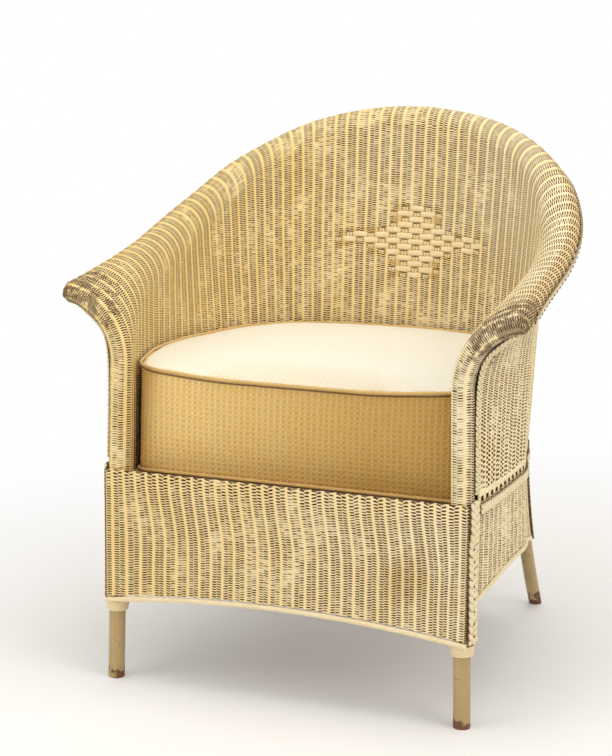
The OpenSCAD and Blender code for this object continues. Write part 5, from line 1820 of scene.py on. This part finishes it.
@dataclass
class SeatWorks:
    """Springs, border wire and deck cloth under the cushion, and the frame's own nodes."""

    spring_d: float = 84.0
    wire_d: float = 4.0
    turns: int = 5
    low_h: float = 202.4
    waist: float = 0.72
    rows: tuple[str, str, str] = ("front", "middle", "rear")
    slat_s: tuple[float, float, float] = (0.13, 0.34, 0.55)
    pitch_x: float = 132.0
    rail_t: float = 22.0
    border_r: float = 2.25

    @property
    def hoop_off(self) -> float:
        """Distance from the middle of the shell's sheet in to the middle of the hoop."""
        return FORM.weave_t / 2 + 0.9 + self.rail_t / 2

    def spring_y(self, s: float) -> float:
        """Row of springs beside the place s: on the seat hoop's line, which clears the leaning sheet."""
        heights = np.array([FORM.shell_low_h, FORM.seat_h])
        n = float(np.min(FORM.line_point(np.full(2, s), heights, self.hoop_off)[0]))
        return float(FORM.in_frame(np.array(s), np.array(n), np.array(FORM.seat_h))[1])

    def springs(self, finishes: Finishes) -> None:
        """Waisted coil springs as round wire: radius shrinks to the waist by a half sine."""
        t = np.linspace(0.0, 1.0, self.turns * 22)
        high = FORM.seat_h - 1.0 - self.wire_d / 2
        r = (self.spring_d - self.wire_d) / 2 * lerp(1.0, self.waist, np.sin(math.pi * t))
        a = TAU * self.turns * t
        coil = np.stack([r * np.cos(a), r * np.sin(a), lerp(self.low_h, high, t)], axis=-1)
        for row, s in zip(self.rows, self.slat_s):
            y = self.spring_y(s)
            parts = MeshParts()
            for k in (-1, 0, 1):
                parts.tube(coil + [k * self.pitch_x, y, 0.0], UP,
                           self.wire_d / 2, self.wire_d / 2, sides=8)
            dress(parts.build("coil_springs_" + row), finishes.steel, "springs_" + row, slot=Slot.STEEL)

    def border(self, finishes: Finishes) -> None:
        """The wire round the springs' tops."""
        s = np.linspace(34.0 / FORM.arm_straight * FORM.side_share, 1.0, 60)
        path = FORM.shell_at(s, FORM.seat_h + 0 * s, self.hoop_off + self.rail_t / 2 + 10.0)
        path[:, 2] = FORM.seat_h - self.border_r - 1.0
        parts = MeshParts()
        parts.tube(both(path), UP, self.border_r, self.border_r, sides=10, closed=True)
        dress(parts.build("border_wire_round"), finishes.steel, "spring_border_wire", slot=Slot.STEEL)

    def deck(self, finishes: Finishes) -> None:
        """Burlap stretched over the seat frame, sagging a little between the springs."""
        n, m = 73, 61
        rail_x = float(FORM.shell_at(np.array(0.0), np.array(FORM.seat_h), FORM.weave_t / 2)[0]) - FORM.gap
        s = np.linspace(0.02, 1.0, 200)
        side = FORM.shell_at(s, FORM.seat_h + 0 * s, FORM.weave_t / 2 + 1.3)
        y_front = -self.rail_t / 2 + 2.5
        y_edge = np.linspace(y_front, side[-1, 1] - 0.2, m)
        edge_x = np.interp(y_edge, side[:, 1], side[:, 0])
        edge_x[y_edge < side[0, 1]] = np.minimum(rail_x - 2.5, edge_x[y_edge < side[0, 1]])
        x = np.linspace(-1.0, 1.0, n)[:, None] * edge_x[None, :]
        y = np.broadcast_to(y_edge[None, :], x.shape)
        inside = np.minimum(1.0 - np.abs(x) / np.maximum(edge_x, 1.0)[None, :], (y - y_front) / 120.0)
        sag = -1.2 * ease(inside * 6.0) * (0.6 + 0.4 * np.cos(x / self.pitch_x * TAU + math.pi))
        top = np.stack([x, y, FORM.seat_h + 0.3 + 1.5 + 0.0 * x + np.minimum(sag, 0.0) * 0.5], axis=-1)
        low = top - [0.0, 0.0, 1.1]
        parts = SheetParts()
        parts.patch(top, low, np.stack([x, y], axis=-1))
        piece = dress(parts.build("deck_burlap"), finishes.burlap, "deck_cloth", slot=Slot.BURLAP)

    def build(self, finishes: Finishes) -> None:
        """Builds the seat's works and paints the frame's nodes."""
        self.springs(finishes)
        self.border(finishes)
        self.deck(finishes)
        for name in ("rim_bow", "seat_front_rail", "seat_hoop", "corner_block_left", "corner_block_right"):
            paint_node(name, finishes.wood)
        for name in ("front_screws", "rear_screws", *("spring_slat_" + row for row in self.rows)):
            paint_node(name, finishes.steel)
        for side in Side:
            paint_node("front_post_" + side.tag, finishes.pole)
            paint_node("rear_post_" + side.tag, finishes.worn_pole)


@dataclass
class Cushion:
    """The loose seat cushion: a boxed form swollen by a cloth simulation, with piping."""

    thick: float = 157.0
    crown: float = 13.0
    rise: float = 18.0
    corner_rise: float = 10.0
    corner_rise_from: float = 0.35
    piping_r: float = 4.0
    deck_top: float = 322.3
    front_y: float = 30.0
    clear: float = 1.0
    low_r: float = 20.0
    high_r: float = 60.0
    flare_share: float = 0.6
    rise_len: float = 130.0
    centre_y: float = 270.0
    voxel: float = 5.5
    most: float = 11.0
    frames: int = 20

    @property
    def seam_low(self) -> float:
        """Height of the lower piping's middle."""
        return self.deck_top + self.piping_r

    @property
    def seam_high(self) -> float:
        """Height of the upper piping's middle at the front edge."""
        return self.deck_top + self.thick - self.piping_r

    def side_at(self, s: Array, k: float) -> Array:
        """Plan points of the outline along the shell, at the share k of the way up."""
        o = FORM.weave_t / 2 + self.clear + self.piping_r
        z_front = FORM.flare_z(s)
        z = np.where(s < FORM.side_share, z_front, FORM.seat_h + k * self.flare_share * self.thick)
        return FORM.shell_at(s, z, o)[..., :2]

    def outline(self, k: float, fine: int = 5) -> Array:
        """Closed plan outline at the share k: straight front, round corners, then the shell."""
        r = lerp(self.low_r, self.high_r, k)
        start = (self.front_y + r) / FORM.arm_straight * FORM.side_share
        x = float(self.side_at(np.array([start]), k)[0, 0]) - r
        across = np.linspace(0.0, 1.0, 10 * fine, endpoint=False)
        arc = np.linspace(0.0, math.pi / 2, 3 * fine, endpoint=False)
        straight = np.stack([across * x, np.full_like(across, self.front_y)], axis=-1)
        corner = np.stack([x + r * np.sin(arc), self.front_y + r * (1.0 - np.cos(arc))], axis=-1)
        rest = self.side_at(np.linspace(start, 1.0, 30 * fine), k)
        half = np.concatenate([straight, corner, rest])
        ring = np.concatenate([half, (half * [-1.0, 1.0])[-2:0:-1]])
        return self.even(ring, 420)

    @staticmethod
    def even(ring: Array, count: int) -> Array:
        """The same closed line with its points evenly spaced, from the middle of the front."""
        closed = np.concatenate([ring, ring[:1]])
        length = lengths(closed)
        return resample(closed, length, np.linspace(0.0, length[-1], count, endpoint=False))

    def lift(self, p: Array) -> Array:
        """How much higher the top lies at the plan points p than at the middle of its front edge."""
        half_w = float(self.side_at(np.array([FORM.side_share]), 1.0)[0, 0])
        back = ease((p[..., 1] - self.front_y) / self.rise_len)
        out = ease((np.abs(p[..., 0]) / half_w - self.corner_rise_from) / (1.0 - self.corner_rise_from))
        return self.rise * back + self.corner_rise * out * (1.0 - back)

    def ring(self, k: float, z: float, inset: float, share: float = 1.0) -> Array:
        """Outline at the share k, drawn in by a length and scaled about the cushion's middle."""
        v = self.outline(k) - [0.0, self.centre_y]
        size = np.linalg.norm(v, axis=1, keepdims=True)
        q = share * (1.0 - inset / size) * v + [0.0, self.centre_y]
        return np.concatenate([q, (z + k * self.lift(share * v + [0.0, self.centre_y]))[:, None]], axis=1)

    def block(self) -> bpy.types.Object:
        """The plain form that the simulation starts from, slightly smaller than the cushion."""
        low, high = self.seam_low, self.seam_high
        shares = (0.02, 0.3, 0.6, 0.85, 0.965)
        rings = [self.ring(0.0, low - 3.0, 1.0, f) for f in shares]
        rings += [self.ring(0.0, low - 1.0, 3.6), self.ring(0.0, low + 2.0, 2.2)]
        rings += [self.ring(k, lerp(low, high, k), 2.6) for k in (0.12, 0.3, 0.5, 0.7, 0.88)]
        rings += [self.ring(1.0, high - 2.0, 2.2), self.ring(1.0, high + 1.0, 3.6)]
        rings += [self.ring(1.0, high + 1.0 + self.crown * (1.0 - f * f) * 0.8, 1.0, f) for f in shares[::-1]]
        points = np.stack(rings)
        parts = MeshParts()
        n, m = points.shape[:2]
        parts.grid(points, np.zeros((n, m + 1, 2)), loop=True)
        for row in (0, n - 1):
            parts.cap(row * m + np.arange(m), points[row].mean(axis=0), row > 0)
        return parts.build("cushion_block")

    @staticmethod
    def solid(piece: bpy.types.Object) -> bpy.types.Mesh:
        """A copy of the piece's mesh with its modifiers worked in."""
        graph = bpy.context.evaluated_depsgraph_get()
        return bpy.data.meshes.new_from_object(piece.evaluated_get(graph))

    def swell(self, piece: bpy.types.Object) -> None:
        """Remeshes the block and swells it like cloth, with its seams held where the piping is."""
        remesh = piece.modifiers.new("even", "REMESH")
        remesh.mode = "VOXEL"
        remesh.voxel_size = self.voxel * MM
        piece.data = self.solid(piece)
        piece.modifiers.clear()
        mesh = piece.data
        start = self.smooth(mesh, read(mesh.vertices, "co", 3), 3)
        mesh.vertices.foreach_set("co", start.ravel())
        gap = self.seam_gap(start)
        group = piece.vertex_groups.new(name="seams")
        group.add(np.flatnonzero(gap < 0.8 * self.voxel * MM).tolist(), 1.0, "REPLACE")
        cloth = piece.modifiers.new("swell", "CLOTH")
        wanted = {"quality": 4, "mass": 0.3, "tension_stiffness": 18.0, "compression_stiffness": 18.0,
                  "shear_stiffness": 6.0, "bending_stiffness": 1.5, "use_pressure": True,
                  "uniform_pressure_force": 4.0, "vertex_group_mass": "seams"}
        for name, value in wanted.items():
            setattr(cloth.settings, name, value)
        cloth.settings.effector_weights.gravity = 0.0
        cloth.point_cache.frame_start, cloth.point_cache.frame_end = 1, self.frames
        scene = bpy.context.scene
        for number in range(1, self.frames + 1):
            scene.frame_set(number)
        swollen = self.solid(piece)
        piece.modifiers.clear()
        scene.frame_set(1)
        move = read(swollen.vertices, "co", 3) - start
        size = np.linalg.norm(move, axis=1, keepdims=True)
        LOG.info("cushion swells by %.1f mm at most, %.1f mm on average", size.max() / MM, size.mean() / MM)
        move *= np.minimum(1.0, self.most * MM / np.maximum(size, 1e-9))
        move *= np.clip((start[:, 2:] / MM - self.seam_low) / 8.0, 0.0, 1.0)
        bpy.data.meshes.remove(swollen)
        mesh.vertices.foreach_set("co", (start + move).astype(np.float32).ravel())

    @staticmethod
    def smooth(mesh: bpy.types.Mesh, points: Array, times: int) -> Array:
        """Moves each point halfway to the middle of its neighbours, several times."""
        a, b = read(mesh.edges, "vertices", 2, np.int32).T
        count = np.bincount(np.concatenate([a, b]), minlength=len(points))[:, None]
        for _ in range(times):
            total = np.zeros_like(points, dtype=np.float64)
            np.add.at(total, a, points[b])
            np.add.at(total, b, points[a])
            points = 0.5 * points + 0.5 * total / count
        return points.astype(np.float32)

    @staticmethod
    def nearest(points: Array, ring: Array) -> tuple[Array, Array]:
        """Each point's distance from the nearest point of a line, and that point's number."""
        gaps, numbers = [], []
        for i in range(0, len(points), CHUNK):
            d = np.linalg.norm(points[i:i + CHUNK, None] - ring[None], axis=2)
            gaps.append(d.min(axis=1))
            numbers.append(d.argmin(axis=1))
        return np.concatenate(gaps), np.concatenate(numbers)

    def seam_gap(self, points: Array) -> Array:
        """Distance of each point from the nearer seam, in metres."""
        seams = (to_frame(self.ring(k, z, 3.0)) for k, z in ((0.0, self.seam_low), (1.0, self.seam_high)))
        return np.minimum(*(self.nearest(points, seam)[0] for seam in seams))

    def lay_out(self, mesh: bpy.types.Mesh) -> None:
        """Writes the cloth's map: length along the outline and height on the sides, plan on top."""
        p = read(mesh.vertices, "co", 3).astype(float) / MM + [0.0, FORM.origin_y, 0.0]
        ring = self.outline(0.5)
        length = lengths(np.concatenate([ring, ring[:1]]))
        near = self.nearest(p[:, :2], ring)[1]
        total, tangent = float(length[-1]), closed_ways(ring)
        along = length[near] + np.sum((p[:, :2] - ring[near]) * tangent[near], axis=1)
        loops = read(mesh.loops, "vertex_index", kind=np.int32)
        sizes = read(mesh.polygons, "loop_total", kind=np.int32)
        middle = read(mesh.polygons, "center", 3) / MM
        owner = np.repeat(np.arange(len(sizes)), sizes)
        upper = middle[:, 2] > self.seam_high + self.lift(middle[:, :2] + [0.0, FORM.origin_y]) + 0.5
        flat = upper | (middle[:, 2] < self.seam_low - 0.5)
        corner = p[loops]
        around = along[loops]
        first = np.concatenate([[0], np.cumsum(sizes)[:-1]])
        anchor = around[first][owner]
        around = around + total * ((anchor - around > total / 2).astype(float)
                                   - (around - anchor > total / 2).astype(float))
        share = (corner[:, 2] - self.seam_low) / (self.seam_high - self.seam_low)
        wall = np.stack([around, corner[:, 2] - self.lift(corner[:, :2]) * share], axis=-1)
        uv = np.where(flat[owner][:, None], corner[:, :2], wall)
        layer = mesh.uv_layers.new(name="weave")
        layer.data.foreach_set("uv", uv.astype(np.float32).ravel())

    def piping(self, k: float) -> bpy.types.Object:
        """A covered cord along a seam, slightly uneven where the cloth puckers."""
        z = lerp(self.seam_low, self.seam_high, k)
        path = self.ring(k, float(z), 1.6)
        turn = np.arange(len(path)) / len(path) * TAU
        uneven = self.piping_r * (0.66 + 0.03 * np.sin(turn * 61.0 + np.sin(turn * 7.0) * 2.0)
                                  + 0.02 * np.sin(turn * 37.0))
        parts = MeshParts()
        parts.tube(path, UP, uneven, uneven, sides=12, closed=True)
        return parts.build("cushion_cord_" + ("top" if k else "bottom"))

    def build(self, finishes: Finishes) -> None:
        """Builds and dresses the cushion."""
        cover = self.block()
        cover.name = "seat_cushion"
        self.swell(cover)
        while cover.data.uv_layers:
            cover.data.uv_layers.remove(cover.data.uv_layers[0])
        self.lay_out(cover.data)
        cover.data.shade_smooth()
        dress(cover, finishes.cloth, "cushion_cover", "cushion_filling", slot=Slot.CLOTH, body=CUSHION)
        for k, node in ((1.0, "cushion_piping_top"), (0.0, "cushion_piping_bottom")):
            dress(self.piping(k), finishes.piping, node, slot=Slot.PIPING, body=CUSHION)


@dataclass(frozen=True)
class Studio:
    """Camera, lights, floor and world."""

    place: tuple[float, float, float] = (0.9778, -2.7716, 0.9993)
    turn: float = 21.0
    down: float = 10.79
    roll: float = 0.658
    lens: float = 88.488
    air: float = 0.5

    def camera(self) -> None:
        """The camera at the photograph's viewing angle."""
        a, d, r = (math.radians(v) for v in (self.turn, self.down, self.roll))
        ahead = Vector((-math.sin(a) * math.cos(d), math.cos(a) * math.cos(d), -math.sin(d)))
        right = Vector((math.cos(a), math.sin(a), 0.0))
        up = right.cross(ahead)
        right_r = math.cos(r) * right + math.sin(r) * up
        up_r = -math.sin(r) * right + math.cos(r) * up
        data = bpy.data.cameras.new("camera")
        data.sensor_fit = "VERTICAL"
        data.sensor_height = 36.0
        data.lens = self.lens
        data.clip_end = 60.0
        camera = bpy.data.objects.new("camera", data)
        basis = Matrix((right_r, up_r, -ahead)).transposed().to_4x4()
        camera.matrix_world = Matrix.Translation(Vector(self.place)) @ basis
        bpy.context.collection.objects.link(camera)
        bpy.context.scene.camera = camera

    @staticmethod
    def lamp(name: str, place: tuple[float, float, float], size: float, power: float, tint: Colour) -> None:
        """A square soft light that looks at the chair."""
        data = bpy.data.lights.new(name, "AREA")
        data.energy = power
        data.size = size
        data.color = tint
        lamp = bpy.data.objects.new(name, data)
        lamp.location = place
        lamp.rotation_euler = (Vector((0.0, 0.0, 0.45)) - Vector(place)).to_track_quat("-Z", "Y").to_euler()
        bpy.context.collection.objects.link(lamp)

    @staticmethod
    def seen(bench: Bench) -> Signal:
        """1 for what the camera sees directly, in a mirror or through glass, else 0."""
        path = bench.node("ShaderNodeLightPath")
        kinds = ("Camera", "Glossy", "Transmission")
        rays = [Signal(bench, path.outputs[f"Is {kind} Ray"]) for kind in kinds]
        return bench.math("MAXIMUM", rays[0], bench.math("MAXIMUM", rays[1], rays[2]))

    def floor(self) -> None:
        """A plain pale floor that runs out of sight."""
        data = bpy.data.meshes.new("floor")
        half = 14.0
        data.from_pydata([(-half, -half, 0.0), (half, -half, 0.0), (half, half, 0.0), (-half, half, 0.0)],
                         [], [(0, 1, 2, 3)])
        floor = bpy.data.objects.new("floor", data)
        bpy.context.collection.objects.link(floor)
        material = bpy.data.materials.new("pale_floor")
        material.use_nodes = True
        bench = Bench(material.node_tree)
        shader = material.node_tree.nodes["Principled BSDF"]
        spot = bench.spot()
        tone = bench.noise(spot, 3.0, 5.0, 0.6)
        bench.feed(shader.inputs["Base Color"], bench.blend(tone, (0.91, 0.88, 0.83), (0.97, 0.94, 0.90)))
        bench.feed(shader.inputs["Roughness"], tone * 0.2 + 0.5)
        x, y, _ = bench.split(spot)
        away = (((x - 0.2) ** 2.0 + (y - 0.1) ** 2.0) ** 0.5).step(0.5, 1.6)
        glow = bench.node("ShaderNodeEmission")
        glow.inputs["Strength"].default_value = 1.0
        mix = bench.node("ShaderNodeMixShader")
        bench.feed(mix.inputs[0], self.seen(bench) * (away * 0.85 + 0.15))
        links = material.node_tree.links
        links.new(shader.outputs[0], mix.inputs[1])
        links.new(glow.outputs[0], mix.inputs[2])
        links.new(mix.outputs[0], material.node_tree.nodes["Material Output"].inputs["Surface"])
        data.materials.append(material)

    def world(self) -> None:
        """Even soft light from all round, and a white background for the camera."""
        world = bpy.data.worlds.new("world")
        bpy.context.scene.world = world
        world.use_nodes = True
        bench = Bench(world.node_tree)
        back = world.node_tree.nodes["Background"]
        back.inputs["Color"].default_value = (1.0, 1.0, 1.0, 1.0)
        bench.feed(back.inputs["Strength"], self.seen(bench) * (1.0 - self.air) + self.air)

    def build(self) -> None:
        """Sets up the whole studio."""
        scene = bpy.context.scene
        scene.view_settings.view_transform = "Standard"
        self.camera()
        self.world()
        self.floor()
        self.lamp("top", (0.2, -0.3, 3.2), 2.4, 47.0, (1.0, 0.995, 0.985))
        self.lamp("key", (2.7, -1.2, 2.2), 2.0, 32.0, (1.0, 0.985, 0.96))
        self.lamp("fill", (-2.2, -2.6, 1.7), 2.2, 30.0, (1.0, 0.99, 0.97))


def main() -> None:
    """Builds the chair's pieces in order, then the studio."""
    logging.basicConfig(level=logging.INFO, format="%(message)s")
    Studio().build()
    finishes = Finishes()
    WovenShell().build(finishes)
    OuterPanels().build(finishes)
    Trim().build(finishes)
    SeatWorks().build(finishes)
    Cushion().build(finishes)


if __name__ == "__main__":
    main()
